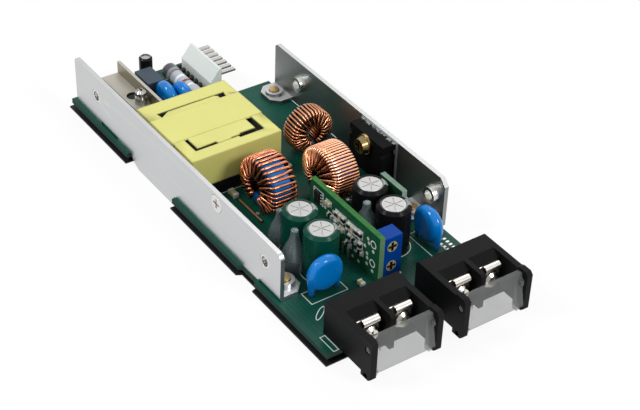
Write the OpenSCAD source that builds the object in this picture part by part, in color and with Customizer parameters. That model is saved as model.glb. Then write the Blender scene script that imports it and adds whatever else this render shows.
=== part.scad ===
// Open-frame switching power supply: a circuit board between two bent aluminium side plates,
// with a taped transformer, three wound chokes, and two terminal blocks under clear hinged covers.
// X runs from the header end to the terminal end, Y from the near plate to the far plate, Z up.
// Layout zero: back edge of the board, outer face of the near plate, top of the board.

/* [Board] */
// Width of the circuit board
board_w = 56.8; // [55:0.1:80]
// Thickness of the circuit board
board_t = 1.6; // [1:0.1:2.4]
// Strip of board outside the near plate
board_over = 1.1; // [0.8:0.1:2]
// Length of board under the terminal blocks
board_lip = 7.5; // [6:0.1:8]
// Diameter of a component lead
lead_d = 0.8; // [0.5:0.05:1]
// Gap between a lead and its hole
lead_clear = 0.15; // [0.1:0.05:0.3]

/* [Insulating sheet] */
// Thickness of the insulating sheet
sheet_t = 0.5; // [0.3:0.1:1]
// Gap between the board and the sheet
sheet_gap = 1.3; // [1.2:0.1:3]
// Overhang of the sheet past the board
sheet_over = 0.6; // [0.2:0.1:1.5]
// Diameter of a foam spacer pad
pad_d = 6; // [4:0.5:7]

/* [Side plates] */
// Thickness of the plate metal
plate_t = 1.3; // [1:0.1:1.6]
// Height of the plates above the board
plate_h = 15.4; // [15:0.1:24]
// Distance of the near plate from the board's back edge
near_inset = 1.5; // [0.5:0.1:4]
// Radius of the near plate's front corner
plate_r = 2; // [0.5:0.1:4]
// Bevel of the far plate's front corner
far_bevel = 2.2; // [0.5:0.1:4]
// Start of the skirt from the back end of a plate
skirt_at = 33.5; // [30:0.5:36]
// Length of the skirt below the board
skirt_l = 25; // [15:0.5:28]
// Length of a fixing tab
tab_l = 10; // [8:0.5:11]
// Reach of a fixing tab from the plate
tab_reach = 6.8; // [6:0.1:7]
// Diameter of the threaded boss on a tab
boss_d = 5.4; // [4.6:0.1:6]
// Height of the boss above its tab
boss_h = 1.1; // [0.5:0.1:2]
// Gap between the far plate and the board's edge
edge_clear = 0.15; // [0.1:0.05:0.3]

/* [Clinch nuts and screws] */
// Thread diameter of the mounting nuts and screws
thread_d = 3; // [2.5:0.1:3.2]
// Diameter of a clinch nut's body
nut_d = 5.6; // [5:0.1:6.5]
// Height of a clinch nut inside the plate
nut_h = 1.8; // [1.2:0.1:2.5]
// Height of the clinch nuts above the board
nut_z = 8.6; // [6:0.1:11]
// Back nut from the back end of the near plate
near_nut_back = 13; // [8:0.5:16]
// Front nut from the front end of the near plate
near_nut_front = 7.5; // [6:0.5:12]
// Back nut from the back end of the far plate
far_nut_back = 14.2; // [12:0.1:18]
// Front nut from the front end of the far plate
far_nut_front = 4.7; // [4:0.1:8]
// Diameter of a screw head
head_d = 5.6; // [5:0.1:6]
// Gap round a screw in its hole
screw_clear = 0.1; // [0.05:0.05:0.2]

/* [Power device] */
// Width of the device
dev_w = 15.8; // [12:0.1:17]
// Thickness of the device's body
dev_t = 4.6; // [4:0.1:5]
// Height of the screws through the plates
dev_screw_z = 12; // [11.5:0.1:12.2]
// Countersunk screw from the front end of the near plate
csk_at = 31.6; // [28:0.1:36]
// Device from the front end of the far plate
dev_at = 30.2; // [26:0.1:36]
// Thickness of the insulating pad behind the device
dev_pad_t = 0.3; // [0.2:0.05:0.5]

/* [Transformer] */
// Length of the transformer
tr_l = 31; // [28:0.1:40]
// Width of the transformer
tr_w = 29.4; // [27:0.1:33]
// Height of the transformer above the board
tr_h = 15; // [13:0.1:22]
// Height of the core's underside above the board
core_z = 5.2; // [4:0.1:6]
// Thickness of the tape wrap
tape_t = 0.4; // [0.2:0.05:0.6]
// Length of a core yoke
yoke_l = 5.2; // [4:0.1:6]
// Width of a core side leg
leg_w = 3.6; // [3:0.1:4.5]
// Width of the core's centre leg
centre_w = 9; // [7:0.1:11]
// Thickness of the bobbin walls
bobbin_t = 0.8; // [0.6:0.1:1]

/* [Chokes] */
// Core diameter of the two large chokes
core_od = 15.4; // [14:0.1:17]
// Core bore of the two large chokes
core_id = 9; // [8:0.1:10]
// Core width of the near choke
core_a_w = 6; // [5:0.1:8]
// Core width of the far choke
core_c_w = 6.2; // [5:0.1:8]
// Wire diameter of the near choke
near_wire_d = 0.9; // [0.7:0.05:1.1]
// Wire diameter of the far choke
far_wire_d = 0.8; // [0.6:0.05:1]
// Core diameter of the small choke
small_od = 12; // [10:0.1:13]
// Core bore of the small choke
small_id = 7; // [6:0.1:8]
// Core width of the small choke
small_w = 4; // [3.5:0.1:6]
// Wire diameter of the small choke
small_wire_d = 0.6; // [0.5:0.05:0.8]
// Gap between the wire and the core
wind_clear = 0.1; // [0.1:0.05:0.2]

/* [Capacitors] */
// Diameter of the large electrolytic capacitors
cap_d = 9.8; // [8:0.1:11]
// Height of the large electrolytic capacitors
cap_h = 14.5; // [11:0.1:22]
// Thickness of their sleeves
sleeve_t = 0.25; // [0.2:0.05:0.4]
// Lead pitch of the electrolytic capacitors
cap_pitch = 5; // [3:0.1:6]
// Diameter of the front disc capacitors
disc_d = 10.2; // [9:0.1:13]
// Diameter of the rear disc capacitors
rear_disc_d = 9.4; // [8:0.1:10]
// Thickness of the disc capacitors
disc_t = 3.6; // [3:0.1:4]
// Lead pitch of the disc capacitors
disc_pitch = 7; // [5:0.1:7.5]
// Diameter of the small electrolytic capacitor
small_cap_d = 4.2; // [3:0.1:5]
// Height of the small electrolytic capacitor
small_cap_h = 10; // [7:0.1:14]
// Length of the box capacitor
box_l = 8.5; // [7:0.1:10]
// Width of the box capacitor
box_w = 5.6; // [4:0.1:6]
// Height of the box capacitor
box_h = 8.5; // [6:0.1:12]

/* [Rear end] */
// Distance of the header from the board's back edge
hdr_at = 3.4; // [2:0.1:5]
// Pin pitch of the header
hdr_pitch = 2.5; // [2:0.02:2.6]
// Number of header pins
hdr_pins = 7; // [2:1:7]
// Thickness of the header's base
hdr_w = 4; // [3.5:0.1:5]
// Height of the header's ridge
hdr_h = 8.4; // [7.5:0.1:11]
// Height of the header pins
hdr_pin_z = 6; // [5:0.1:6.5]
// Length of the header pins past the base
hdr_pin_l = 5.4; // [3:0.1:8]
// Width of a header pin
hdr_pin_w = 1.4; // [0.8:0.05:1.6]
// Thickness of a header pin
hdr_pin_t = 0.64; // [0.5:0.02:0.8]
// Diameter of a bead
bead_d = 1.8; // [1:0.1:2.2]
// Height of a bead
bead_h = 3; // [2:0.1:5]
// Length of the fuse
fuse_l = 18; // [14:0.1:21]
// Diameter of the fuse
fuse_d = 5; // [4:0.1:6]
// Length of the rear heat sink
sink_l = 30; // [28:0.1:34]
// Width of the rear heat sink
sink_w = 6.6; // [6.4:0.1:8]
// Metal thickness of the rear heat sink
sink_t = 1; // [0.8:0.1:1.2]
// Height of the rear heat sink's underside
sink_z = 4.2; // [3.5:0.1:6]
// Height of the rear heat sink's flange
sink_h = 4; // [2:0.1:8]

/* [Control board] */
// Length of the control board
ctl_l = 32.2; // [28:0.1:38]
// Height of the control board
ctl_h = 15.1; // [14.5:0.1:20]
// Thickness of the upright boards
ctl_t = 1.6; // [1:0.1:2]
// Length of the small upright board
sense_l = 10.2; // [7:0.1:14]
// Height of the small upright board
sense_h = 13.6; // [10:0.1:18]
// Width of a trimmer
trim_w = 6.4; // [5.4:0.1:6.8]
// Depth of a trimmer
trim_d = 4.8; // [4:0.1:5.5]
// Height of a trimmer
trim_h = 6.4; // [5.5:0.1:6.8]
// Diameter of a trimmer's rotor
rotor_d = 3.3; // [2.5:0.1:4]
// Thickness of a trimmer's rotor
rotor_t = 1.2; // [1:0.1:1.8]
// Gap round a trimmer's rotor
rotor_clear = 0.15; // [0.1:0.05:0.3]

/* [Terminal blocks] */
// Depth of a terminal block
tb_d = 20.5; // [20:0.1:23]
// Height of a terminal block
tb_h = 11; // [10.6:0.1:13]
// Width of one terminal cell
cell_w = 8.6; // [7.8:0.1:9]
// Thickness of a block's end walls
end_t = 1.8; // [1.4:0.1:2.2]
// Thickness of the wall between two cells
part_t = 1.5; // [1:0.1:2]
// Front face of the moulded body inside a cell
face_x = 9.5; // [9:0.1:10]
// Place of the ridge, where the top begins to slope down to the screws
ridge_x = 6.5; // [5:0.1:8]
// Thickness of the floor of a cell
floor_t = 1; // [0.6:0.1:1.2]
// Height of the terminal screws
term_z = 5.4; // [5:0.1:5.8]
// Head diameter of a terminal screw
term_head_d = 5; // [4.6:0.1:6]
// Height of a terminal screw's head
term_head_h = 1.7; // [1.4:0.1:2]
// Shank diameter of a terminal screw
term_d = 3.5; // [3:0.1:4]
// Thickness of a terminal plate
term_plate_t = 0.6; // [0.5:0.1:0.8]
// Thickness of a wire clamp
clamp_t = 0.8; // [0.6:0.1:1]
// Width of a wire clamp
clamp_w = 6.6; // [5.5:0.1:7.2]
// Radius of a wire clamp's rolled edge
roll_r = 1.1; // [0.7:0.05:1.3]
// Width of a wire clamp's rolled edge
roll_w = 5; // [4:0.1:5.4]
// Gap between the rolled edge and the screw's head
roll_gap = 0.3; // [0.1:0.05:0.5]

/* [Terminal covers] */
// Thickness of a clear cover
cover_t = 1.2; // [0.8:0.1:1.5]
// Lean of a closed cover from upright
cover_lean = 11.5; // [0:0.5:14]
// Hinge pin from the front of the block
hinge_in = 1.85; // [1.8:0.05:2.2]
// Hinge pin below the top of the block
hinge_down = 3; // [2.8:0.1:3.2]
// Reach of the cover below its hinge pin
cover_low = 7.2; // [6:0.1:7.4]
// Reach of the cover above its hinge pin
cover_up = 3; // [2:0.1:3]
// Diameter of a hinge pin
hinge_d = 1.8; // [1.4:0.1:2]
// Gap round a hinge pin
hinge_clear = 0.15; // [0.1:0.05:0.2]
// Gap between a cover and the end walls
cover_side = 0.3; // [0.3:0.05:0.5]

/* [Hidden] */
$fn = 40;
e = 0.01;

// Heights below the board
lead_out = sheet_gap - 0.3;
lead_end = board_t + lead_out;
drop = board_t + sheet_gap + sheet_t;

// Outer radius and full width of a wound core; the wire of a second layer nests in the grooves of the first
nest = 0.9;
function wound_r(od, wire) = od / 2 + wind_clear + wire;
function wound_w(w, wire, layers) = w + 2 * (wind_clear + wire * (1 + (layers - 1) * nest));
near_layers = 2;
far_layers = 2;
small_layers = 2;
near_r = wound_r(core_od, near_wire_d);
far_r = wound_r(core_od, far_wire_d);
small_r = wound_r(small_od, small_wire_d);
near_choke_w = wound_w(core_a_w, near_wire_d, near_layers);
far_choke_w = wound_w(core_c_w, far_wire_d, far_layers);
small_choke_w = wound_w(small_w, small_wire_d, small_layers);

// Rear end, along X from the board's back edge
hdr_l = hdr_pins * hdr_pitch;
cut_l = hdr_at + hdr_l + 2.6;
sink_x = near_inset + 0.1;
small_cap_x = 2.7 + small_cap_d / 2;
box_x = small_cap_x + small_cap_d / 2 + 1.6;
rear_disc_x = box_x + box_l + 1 + rear_disc_d / 2;
rear_disc_step = 3;
fuse_x = 6.2;
fuse_lead = 1.5;
tr_x = max(sink_x + sink_l, rear_disc_x + rear_disc_step + rear_disc_d / 2,
    fuse_x + fuse_l + fuse_lead + 1, cut_l)
    + 3.9;

// Middle and front, along X
tr_x1 = tr_x + tr_l;
near_choke_x = tr_x1 + 3.15 + near_r;
small_choke_x = tr_x1 - 2.6 - small_choke_w / 2;
far_choke_x = tr_x1 + 8.3 + far_r;
cap_gap = 0.4;
green_x = near_choke_x + near_r + 6.95 + cap_d / 2;
black_x = far_choke_x + far_r + 3.1 + cap_d / 2;
green_step = cap_d + cap_gap;
black_step = cap_d + 1;
front_disc_x = green_x + green_step + cap_d / 2 + 0.8 + disc_t / 2;
side_disc_x = black_x + black_step + 4;
near_x0 = near_inset;
near_x1 = front_disc_x - disc_t / 2 - 0.6;
far_x0 = cut_l + 3.3;
far_x1 = near_x1 - 2.8;
tb_x = max(front_disc_x + disc_t / 2 + 11.5, side_disc_x + disc_d / 2 + 9.8);
board_l = tb_x + board_lip;
ctl_x1 = tb_x - 8;

// Across the board, along Y
near_in = plate_t;
board_y0 = -board_over;
board_y1 = board_w - board_over;
far_in = board_y1 + edge_clear;
far_out = far_in + plate_t;
tr_y = near_in + 1.1;
near_choke_y = near_in + 13.65 + near_choke_w / 2;
green_y = near_in + 10 + cap_d / 2;
front_disc_y = near_in + 6 + disc_d / 2;
ctl_y = max(green_y + cap_d / 2, near_choke_y + near_choke_w / 2 - 3.5) + 4.9;
small_choke_y = far_in - 4 - small_r;
far_choke_y = far_in - 13.6 - far_choke_w / 2;
black_y = far_in - 12.2 - cap_d / 2;
sense_y = black_y + cap_d / 2 + 0.9;
side_disc_y = far_in - 7.8;
tb_w = 2 * (cell_w + end_t) + part_t;
left_tb_y = board_y0 + 4;
right_tb_y = far_in - 1.55 - tb_w;
sink_y = near_in + tab_reach + 0.5;
box_y = sink_y + sink_w + 1.2;
rear_disc_y = sink_y + sink_w + 3.8 + disc_t / 2;
fuse_y = rear_disc_y + disc_t + 0.6 + disc_t / 2 + 0.4 + fuse_d / 2;
bead_y = fuse_y + fuse_d / 2 + 1.2 + bead_d / 2;
hdr_y = bead_y + bead_d / 2 + 0.8;
cut_y = hdr_y + hdr_w + 1;

// Capacitor places: [x, y]
green_caps = [for (i = [0, 1]) [green_x + i * green_step, green_y]];
black_caps = [for (i = [0, 1]) [black_x + i * black_step, black_y]];
small_cap = [small_cap_x, box_y + box_w + 0.4];
rear_discs_at = [for (i = [0, 1]) [rear_disc_x + i * rear_disc_step, rear_disc_y + i * (disc_t + 0.6)]];
fuse_z = fuse_d / 2 + 0.9;
jumper_y = near_choke_y - near_choke_w / 2 - 0.5;
jumper_xs = [tr_x1 + 5.4, tr_x1 + 16.5];

// Leads: [x, y, top of the lead]
leads = concat(
    [for (c = concat(green_caps, black_caps)) for (s = [-0.5, 0.5]) [c[0], c[1] + s * cap_pitch, 0]],
    [for (s = [-0.5, 0.5]) [small_cap[0], small_cap[1] + s * 2, 0]],
    [for (s = [-0.5, 0.5]) [front_disc_x, front_disc_y + s * disc_pitch, 0.3]],
    [for (s = [-0.5, 0.5]) [side_disc_x + s * disc_pitch, side_disc_y, 0.3]],
    [for (c = rear_discs_at) for (s = [-0.35, 0.35]) [c[0] + s * disc_pitch, c[1], 0.3]],
    [for (x = [1.4, box_l - 1.4]) [box_x + x, box_y + box_w / 2, 0]],
    [for (x = [-fuse_lead, fuse_l + fuse_lead]) [fuse_x + x, fuse_y, fuse_z]]);

// Pins of the upright boards and of the transformer: [x, y]
ctl_pin_y = ctl_y - lead_d / 2;
sense_pin_y = sense_y + ctl_t + lead_d / 2;
sense_x = black_x - 3.3;
board_pin_spots = concat(
    [for (i = [0:6]) [ctl_x1 - ctl_l + 4 + i * 2.54, ctl_pin_y]],
    [for (i = [0:2]) [sense_x + 2.5 + i * 2.54, sense_pin_y]]);
tr_pins = [for (x = [tr_x + tape_t + 2.6, tr_x1 - tape_t - 2.6]) for (i = [-2.5:2.5])
    [x, tr_y + tr_w / 2 + i * 4]];

// Place of the device, and of its leads
dev_x = far_x1 - dev_at;
dev_y = far_in - dev_pad_t - dev_t;
dev_z0 = 2.4;
dev_z1 = dev_screw_z + 3;
dev_pitch = 5.08;
dev_lead_spots = [for (i = [-1:1]) [dev_x + i * dev_pitch, dev_y + 1.6]];

// Tabs: [x, side], and the bracket screws at their centres
tab_xs = [near_x0 + 15.5, near_x1 - tab_l, far_x0, far_x1 - tab_l - 4];
tab_mid = plate_t + tab_reach / 2 + 0.2;
bracket_spots = [for (i = [0:3]) [tab_xs[i] + tab_l / 2, i < 2 ? tab_mid : far_out - tab_mid]];
bracket_top = plate_t + boss_h + 0.5;

// Foam pads between the board and the sheet, clear of every lead: [x, y]
pads = [[8, near_in + 3], [tr_x + tr_l / 2, tr_y + tr_w + 4], [tr_x + tr_l / 2, tr_y + tr_w / 2],
    [green_x - cap_d / 2 - 4, ctl_y - 5], [tb_x - 4, ctl_y + 5], [tb_x - 4, 4.5]];

// Terminal block places and the middle of each cell
tb_ys = [left_tb_y, right_tb_y];
cell_mids = [end_t + cell_w / 2, end_t + cell_w + part_t + cell_w / 2];
cells = [for (y = tb_ys) for (c = cell_mids) y + c];
hinge_x = tb_d - hinge_in;
hinge_z = tb_h - hinge_down;
latch_x = hinge_x - 0.3;
latch_z = -0.5;
leg_x = 4.5;
leg_d = 1.4;

// Part frame: centre of the footprint, on the surface that it stands on
front_x = tb_x + max(tb_d, hinge_x + cover_low * sin(cover_lean) + cover_t / 2 * cos(cover_lean));
mid = [(front_x - sheet_over) / 2, (far_out + board_y0 - sheet_over) / 2, -drop];
module stand() translate(-mid) children();

// Plate blanks

module upright(t) { rotate([90, 0, 0]) translate([0, 0, -t]) linear_extrude(t) children(); }

// Bent plate seen from outside: wall, skirt below the board, and tabs turned inwards
module bent_plate(len, tabs, nuts, rounded) {
    difference() {
        union() {
            upright(plate_t) plate_outline(len, rounded);
            for (x = tabs) translate([x, 0, 0]) tab();
        }
        for (x = tabs) translate([x - e, -e, -e]) difference() {
            cube([tab_l + 2 * e, plate_t, plate_t]);
            translate([-e, plate_t, plate_t]) rotate([0, 90, 0]) cylinder(r = plate_t, h = tab_l + 4 * e);
        }
        for (x = tabs) translate([x + tab_l / 2, tab_mid, -e])
            cylinder(d = thread_d + 2 * screw_clear, h = plate_t + boss_h + 2 * e);
        for (x = nuts) translate([x, -e, nut_z]) rotate([-90, 0, 0])
            cylinder(d = shank_d + 0.1, h = plate_t + 2 * e);
    }
}

module plate_outline(len, rounded) {
    difference() {
        square([len, plate_h]);
        if (rounded) translate([len - plate_r, plate_h - plate_r]) difference() {
            square(plate_r + 1);
            circle(plate_r);
        }
        else translate([len, plate_h]) rotate(45) square(far_bevel * sqrt(2), center = true);
        translate([0, plate_h]) rotate(45) square(1.2, center = true);
    }
    polygon([[skirt_at, e], [skirt_at + 1.4, -drop * 0.6], [skirt_at + 4.5, -drop],
        [skirt_at + skirt_l - 0.8, -drop], [skirt_at + skirt_l, e]]);
}

module tab() {
    c = 2.4;
    y1 = plate_t + tab_reach;
    linear_extrude(plate_t) polygon([[0, 0], [tab_l, 0], [tab_l, y1 - c], [tab_l - c, y1], [c, y1],
        [0, y1 - c]]);
    translate([tab_l / 2, tab_mid, 0]) cylinder(d = boss_d, h = plate_t + boss_h);
}

shank_d = nut_d - 1.4;
near_len = near_x1 - near_x0;
far_len = far_x1 - far_x0;
near_nuts = [near_nut_back, near_len - near_nut_front];
far_nuts = [far_nut_back, far_len - far_nut_front];

module near_side_plate() {
    color("silver") stand() translate([near_x0, 0, 0]) difference() {
        bent_plate(near_len, [tab_xs[0] - near_x0, tab_xs[1] - near_x0], near_nuts, true);
        translate([near_len - csk_at, 0, dev_screw_z]) rotate([-90, 0, 0]) {
            translate([0, 0, -e]) cylinder(d = thread_d + 2 * screw_clear, h = plate_t + 2 * e);
            translate([0, 0, -e]) cylinder(d1 = head_d, d2 = thread_d + 2 * screw_clear, h = csk_h);
        }
    }
}

module far_side_plate() {
    color("lightgray") stand() translate([far_x0, far_out, 0]) mirror([0, 1, 0]) difference() {
        bent_plate(far_len, [tab_xs[2] - far_x0, tab_xs[3] - far_x0], far_nuts, false);
        translate([far_len - dev_at, -e, dev_screw_z]) rotate([-90, 0, 0])
            cylinder(d = thread_d + 2 * screw_clear, h = plate_t + 2 * e);
    }
}

module clinch_nut() {
    rotate([-90, 0, 0]) difference() {
        union() {
            translate([0, 0, 0.05]) cylinder(d = shank_d, h = plate_t - 0.05);
            translate([0, 0, plate_t]) cylinder(d1 = nut_d, d2 = nut_d - 0.6, h = nut_h);
        }
        translate([0, 0, -e]) cylinder(d = thread_d, h = plate_t + nut_h + 2 * e);
    }
}

module clinch_nuts() {
    color("gainsboro") stand() {
        for (x = near_nuts) translate([near_x0 + x, 0, nut_z]) clinch_nut();
        for (x = far_nuts) translate([far_x0 + x, far_out, nut_z]) mirror([0, 1, 0]) clinch_nut();
    }
}

// Screws from below the board into the tabs
module bracket_screws() {
    color("goldenrod") stand() for (p = bracket_spots) translate([p[0], p[1], -board_t]) {
        cylinder(d = thread_d, h = board_t + bracket_top);
        difference() {
            translate([0, 0, -(drop - board_t - 0.1)]) cylinder(d = head_d, h = drop - board_t - 0.1);
            for (a = [0, 90]) rotate(a) translate([-1.4, -0.35, -drop]) cube([2.8, 0.7, drop - 0.9]);
        }
    }
}

// Board and sheet

module board_blank(over, t) {
    linear_extrude(t) difference() {
        translate([-over, board_y0 - over]) square([board_l + 2 * over, board_w + over]);
        translate([-over - 1, cut_y + over]) square([cut_l + 1, board_w]);
        translate([near_x0 + skirt_at - 0.4, board_y0 - over - 1])
            square([skirt_l + 0.8, 1 + over + board_over + plate_t + 0.3]);
        translate([near_x1 - near_nut_front - 3, board_y0 - over])
            polygon([[-9, -1], [-7.6, board_over - 0.2 + over], [-0.6, board_over - 0.2 + over], [0, -1]]);
    }
}

module holes(spots, d) {
    for (p = spots) translate([p[0], p[1], -board_t - e]) cylinder(d = d, h = board_t + 2 * e);
}

module main_board() {
    color("darkgreen") stand() difference() {
        translate([0, 0, -board_t]) board_blank(0, board_t);
        holes(leads, lead_d + 2 * lead_clear);
        holes(board_pin_spots, lead_d + 2 * lead_clear);
        holes(tr_pins, lead_d + 2 * lead_clear);
        holes(dev_lead_spots, lead_d + 2 * lead_clear);
        holes([for (x = jumper_xs) [x, jumper_y]], lead_d + 2 * lead_clear);
        holes(bracket_spots, thread_d + 4 * screw_clear);
        holes([for (x = hdr_xs) [x, hdr_pin_y]], hdr_pin_t * sqrt(2) + 2 * lead_clear);
        holes([for (y = cells) [tb_x + leg_x, y]], leg_d + 2 * lead_clear);
        holes([[post_x, post_y]], post_d - 1.6 + 2 * lead_clear);
        holes(near_tails, near_wire_d + 2 * lead_clear);
        holes(far_tails, far_wire_d + 2 * lead_clear);
        holes(small_tails, small_wire_d + 2 * lead_clear);
    }
}

module insulating_sheet() {
    color("black") stand() translate([0, 0, -drop]) difference() {
        board_blank(sheet_over, sheet_t);
        for (p = bracket_spots) translate([p[0], p[1], -e]) cylinder(d = head_d + 1, h = sheet_t + 2 * e);
    }
}

module sheet_pads() {
    color("dimgray") stand() for (p = pads) translate([p[0], p[1], sheet_t - drop])
        cylinder(d = pad_d, h = sheet_gap);
}

// Power device on the far plate, and the screws through the plates

csk_h = plate_t - 0.3;

module far_device() {
    color("#1c1c1e") stand() translate([dev_x, dev_y + dev_t, 0]) mirror([0, 1, 0]) difference() {
        translate([-dev_w / 2, 0, dev_z0]) cube([dev_w, dev_t, dev_z1 - dev_z0]);
        translate([0, -e, dev_screw_z]) rotate([-90, 0, 0]) cylinder(d = thread_d + 0.4, h = dev_t + 2 * e);
        for (s = [-1, 1]) translate([s * dev_w / 2, -e, dev_screw_z]) rotate([-90, 0, 0])
            cylinder(d = 2, h = dev_t + 2 * e);
        translate([-dev_w / 2 - e, dev_t - 0.7, dev_z0]) rotate([-30, 0, 0]) translate([0, 0, -2])
            cube([dev_w + 2 * e, 2, 2]);
    }
}

module device_pad() {
    color("gray") stand() translate([dev_x, far_in - dev_pad_t, 0]) difference() {
        translate([-dev_w / 2 - 0.6, 0, dev_z0 - 0.6]) cube([dev_w + 1.2, dev_pad_t, dev_z1 - dev_z0 + 0.8]);
        translate([0, -e, dev_screw_z]) rotate([-90, 0, 0])
            cylinder(d = thread_d + 0.4, h = dev_pad_t + 2 * e);
    }
}

module device_leads() {
    color("silver") stand() for (p = dev_lead_spots) translate([p[0], p[1], -lead_end])
        cylinder(d = lead_d, h = lead_end + dev_z0);
}

module cross_recess(d, deep) {
    for (a = [0, 90]) rotate(a) translate([-d / 2, -d * 0.11, -deep]) cube([d, d * 0.22, deep + 1]);
}

module countersunk_screw() {
    color("lightgray") stand() translate([near_x1 - csk_at, 0, dev_screw_z]) rotate([-90, 0, 0]) {
        translate([0, 0, csk_h - 0.1]) cylinder(d = thread_d, h = plate_t - csk_h + 0.5);
        difference() {
            translate([0, 0, 0.05]) cylinder(d1 = head_d - 0.3, d2 = thread_d, h = csk_h - 0.05);
            translate([0, 0, 0.05]) mirror([0, 0, 1]) cross_recess(head_d * 0.55, 0.6);
        }
    }
}

module device_screw() {
    color("goldenrod") stand() translate([dev_x, dev_y, dev_screw_z]) rotate([-90, 0, 0]) {
        cylinder(d = thread_d, h = far_out - dev_y);
        difference() {
            union() {
                translate([0, 0, -0.8]) cylinder(d = head_d + 0.6, h = 0.8);
                translate([0, 0, -2.6]) cylinder(d1 = head_d - 1, d2 = head_d - 0.2, h = 1.8);
            }
            translate([0, 0, -2.6]) mirror([0, 0, 1]) cross_recess(head_d * 0.6, 1);
        }
    }
}

// Transformer

window_x0 = yoke_l;
window_x1 = tr_l - yoke_l + 1.2;
window_y0 = leg_w;
window_y1 = tr_w - leg_w;
core_top = tr_h - tape_t;
centre_z0 = (core_z + core_top) / 2 - 2.4;
centre_h = 4.8;
rail_in = tape_t + 0.8;
band_t = 0.15;

module tr_place() stand() translate([tr_x, tr_y, 0]) children();

module transformer_core() {
    color("#3a3a3c") tr_place() {
        translate([0, 0, core_z]) linear_extrude(core_top - core_z) difference() {
            translate([tape_t, tape_t]) square([tr_l - 2 * tape_t, tr_w - 2 * tape_t]);
            translate([window_x0, window_y0]) square([window_x1 - window_x0, window_y1 - window_y0]);
        }
        translate([window_x0 - e, (tr_w - centre_w) / 2, centre_z0])
            cube([window_x1 - window_x0 + 2 * e, centre_w, centre_h]);
    }
}

// Two rails with the pins, a flange above each, and the tube round the centre leg
module transformer_bobbin() {
    b = bobbin_t;
    g = 0.15;
    color("#26262a") tr_place() difference() {
        union() {
            for (x = [[rail_in, window_x0 + g + b], [window_x1 - g - b, tr_l - rail_in]])
                translate([x[0], 1.6, 0])
                cube([x[1] - x[0], tr_w - 3.2, core_z - 0.1]);
            for (x = [window_x0 + g, window_x1 - g - b]) translate([x, window_y0 + g, core_z - 2])
                cube([b, window_y1 - window_y0 - 2 * g, core_top - core_z + 1.6]);
            translate([window_x0 + g, (tr_w - centre_w) / 2 - g - b, centre_z0 - g - b])
                cube([window_x1 - window_x0 - 2 * g, centre_w + 2 * (g + b), centre_h + 2 * (g + b)]);
        }
        translate([0, (tr_w - centre_w) / 2 - g, centre_z0 - g])
            cube([tr_l, centre_w + 2 * g, centre_h + 2 * g]);
    }
}

// Wound coil: a rounded rectangle round the bobbin's tube, between its flanges
module transformer_winding() {
    g = 0.15 + bobbin_t;
    x0 = window_x0 + g + 0.1;
    x1 = window_x1 - g - 0.1;
    y0 = window_y0 + 0.5;
    w = window_y1 - window_y0 - 1;
    z0 = core_z - 2;
    h = core_top - 0.1 - z0;
    r = 2.2;
    color("#8a5a32") tr_place() translate([x0, 0, 0]) rotate([90, 0, 90]) linear_extrude(x1 - x0)
        difference() {
        union() {
            translate([y0 + r, z0]) square([w - 2 * r, h]);
            translate([y0, z0 + r]) square([w, h - 2 * r]);
            for (y = [y0 + r, y0 + w - r]) for (z = [z0 + r, z0 + h - r]) translate([y, z]) circle(r);
        }
        translate([(tr_w - centre_w) / 2 - g - 0.05, centre_z0 - g - 0.05])
            square([centre_w + 2 * g + 0.1, centre_h + 2 * g + 0.1]);
    }
}

// Tape wrap over the core and coil, open below, with the slots that the wrap leaves at the coil's ends
module transformer_tape() {
    sx = window_x1 - 1.3;
    sy0 = window_y0 - 0.1;
    sy1 = window_y1 + 0.1;
    color("khaki") tr_place() difference() {
        translate([0, 0, core_z]) cube([tr_l, tr_w, tr_h - core_z]);
        translate([tape_t, tape_t, core_z - 1]) cube([tr_l - 2 * tape_t, tr_w - 2 * tape_t,
            core_top - core_z + 1]);
        translate([0, 0, core_top - 1]) linear_extrude(3) {
            translate([sx, sy0]) square([1.2, 7.4]);
            translate([sx, sy1 - 7.4]) square([1.2, 7.4]);
            translate([sx - 5.2, sy0]) square([5.4, 1.1]);
            translate([sx - 5.2, sy1 - 1.1]) square([5.4, 1.1]);
            translate([window_x0, sy0 + 1]) square([0.5, sy1 - sy0 - 2]);
            polygon([[window_x0, sy0], [window_x0 + 2.4, sy0 + 0.4], [window_x0 + 0.5, sy0 + 3.4],
                [window_x0, sy0 + 3]]);
            polygon([[window_x0, sy1], [window_x0 + 2.4, sy1 - 0.4], [window_x0 + 0.5, sy1 - 3.4],
                [window_x0, sy1 - 3]]);
        }
    }
    // Second turn of tape, round the coil only
    color("khaki") tr_place() difference() {
        translate([window_x0 + 2.5, -band_t, core_z + 0.6])
            cube([sx - window_x0 - 7.8, tr_w + 2 * band_t, tr_h - core_z - 0.6 + band_t]);
        translate([0, 0, core_z - 1]) cube([tr_l, tr_w, tr_h - core_z + 1]);
    }
}

module transformer_pins() {
    color("silver") stand() for (p = tr_pins) translate([p[0], p[1], -lead_end])
        cylinder(d = lead_d, h = lead_end);
}

// Chokes: the wire is one tube swept along a helix that follows the core's section, with a tail at each end

// Gap at the foot of the winding, between the two tails
foot_gap = 44;
// Pitch of the turns in the bore, in wire diameters
turn_slack = 1.03;
near_slack = 1.22;

// Bevel of the cores' edges, and the bevel of the wire's loop that keeps the same gap there
core_bevel = 0.6;
function wind_gap(wire) = wind_clear + wire / 2;
function wind_bevel(wire) = core_bevel + 0.55 * wind_gap(wire);

// One corner of the wire's loop round the core: [radius, height]. A loop of the second layer is deeper
// in the
// bore and stands off the core's end faces there, but all loops share the outer face.
function loop_pt(k, ro, ri, zo, zi, c) =
    k == 0 ? [ro, -zo + c] : k == 1 ? [ro, zo - c] : k == 2 ? [ro - c, zo] : k == 3 ? [ri + c, zi] :
    k == 4 ? [ri, zi - c] : k == 5 ? [ri, -zi + c] : k == 6 ? [ri + c, -zi] : [ro - c, -zo];

function on_ring(p, a) = [p[0] * cos(a), p[0] * sin(a), p[1]];

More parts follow.
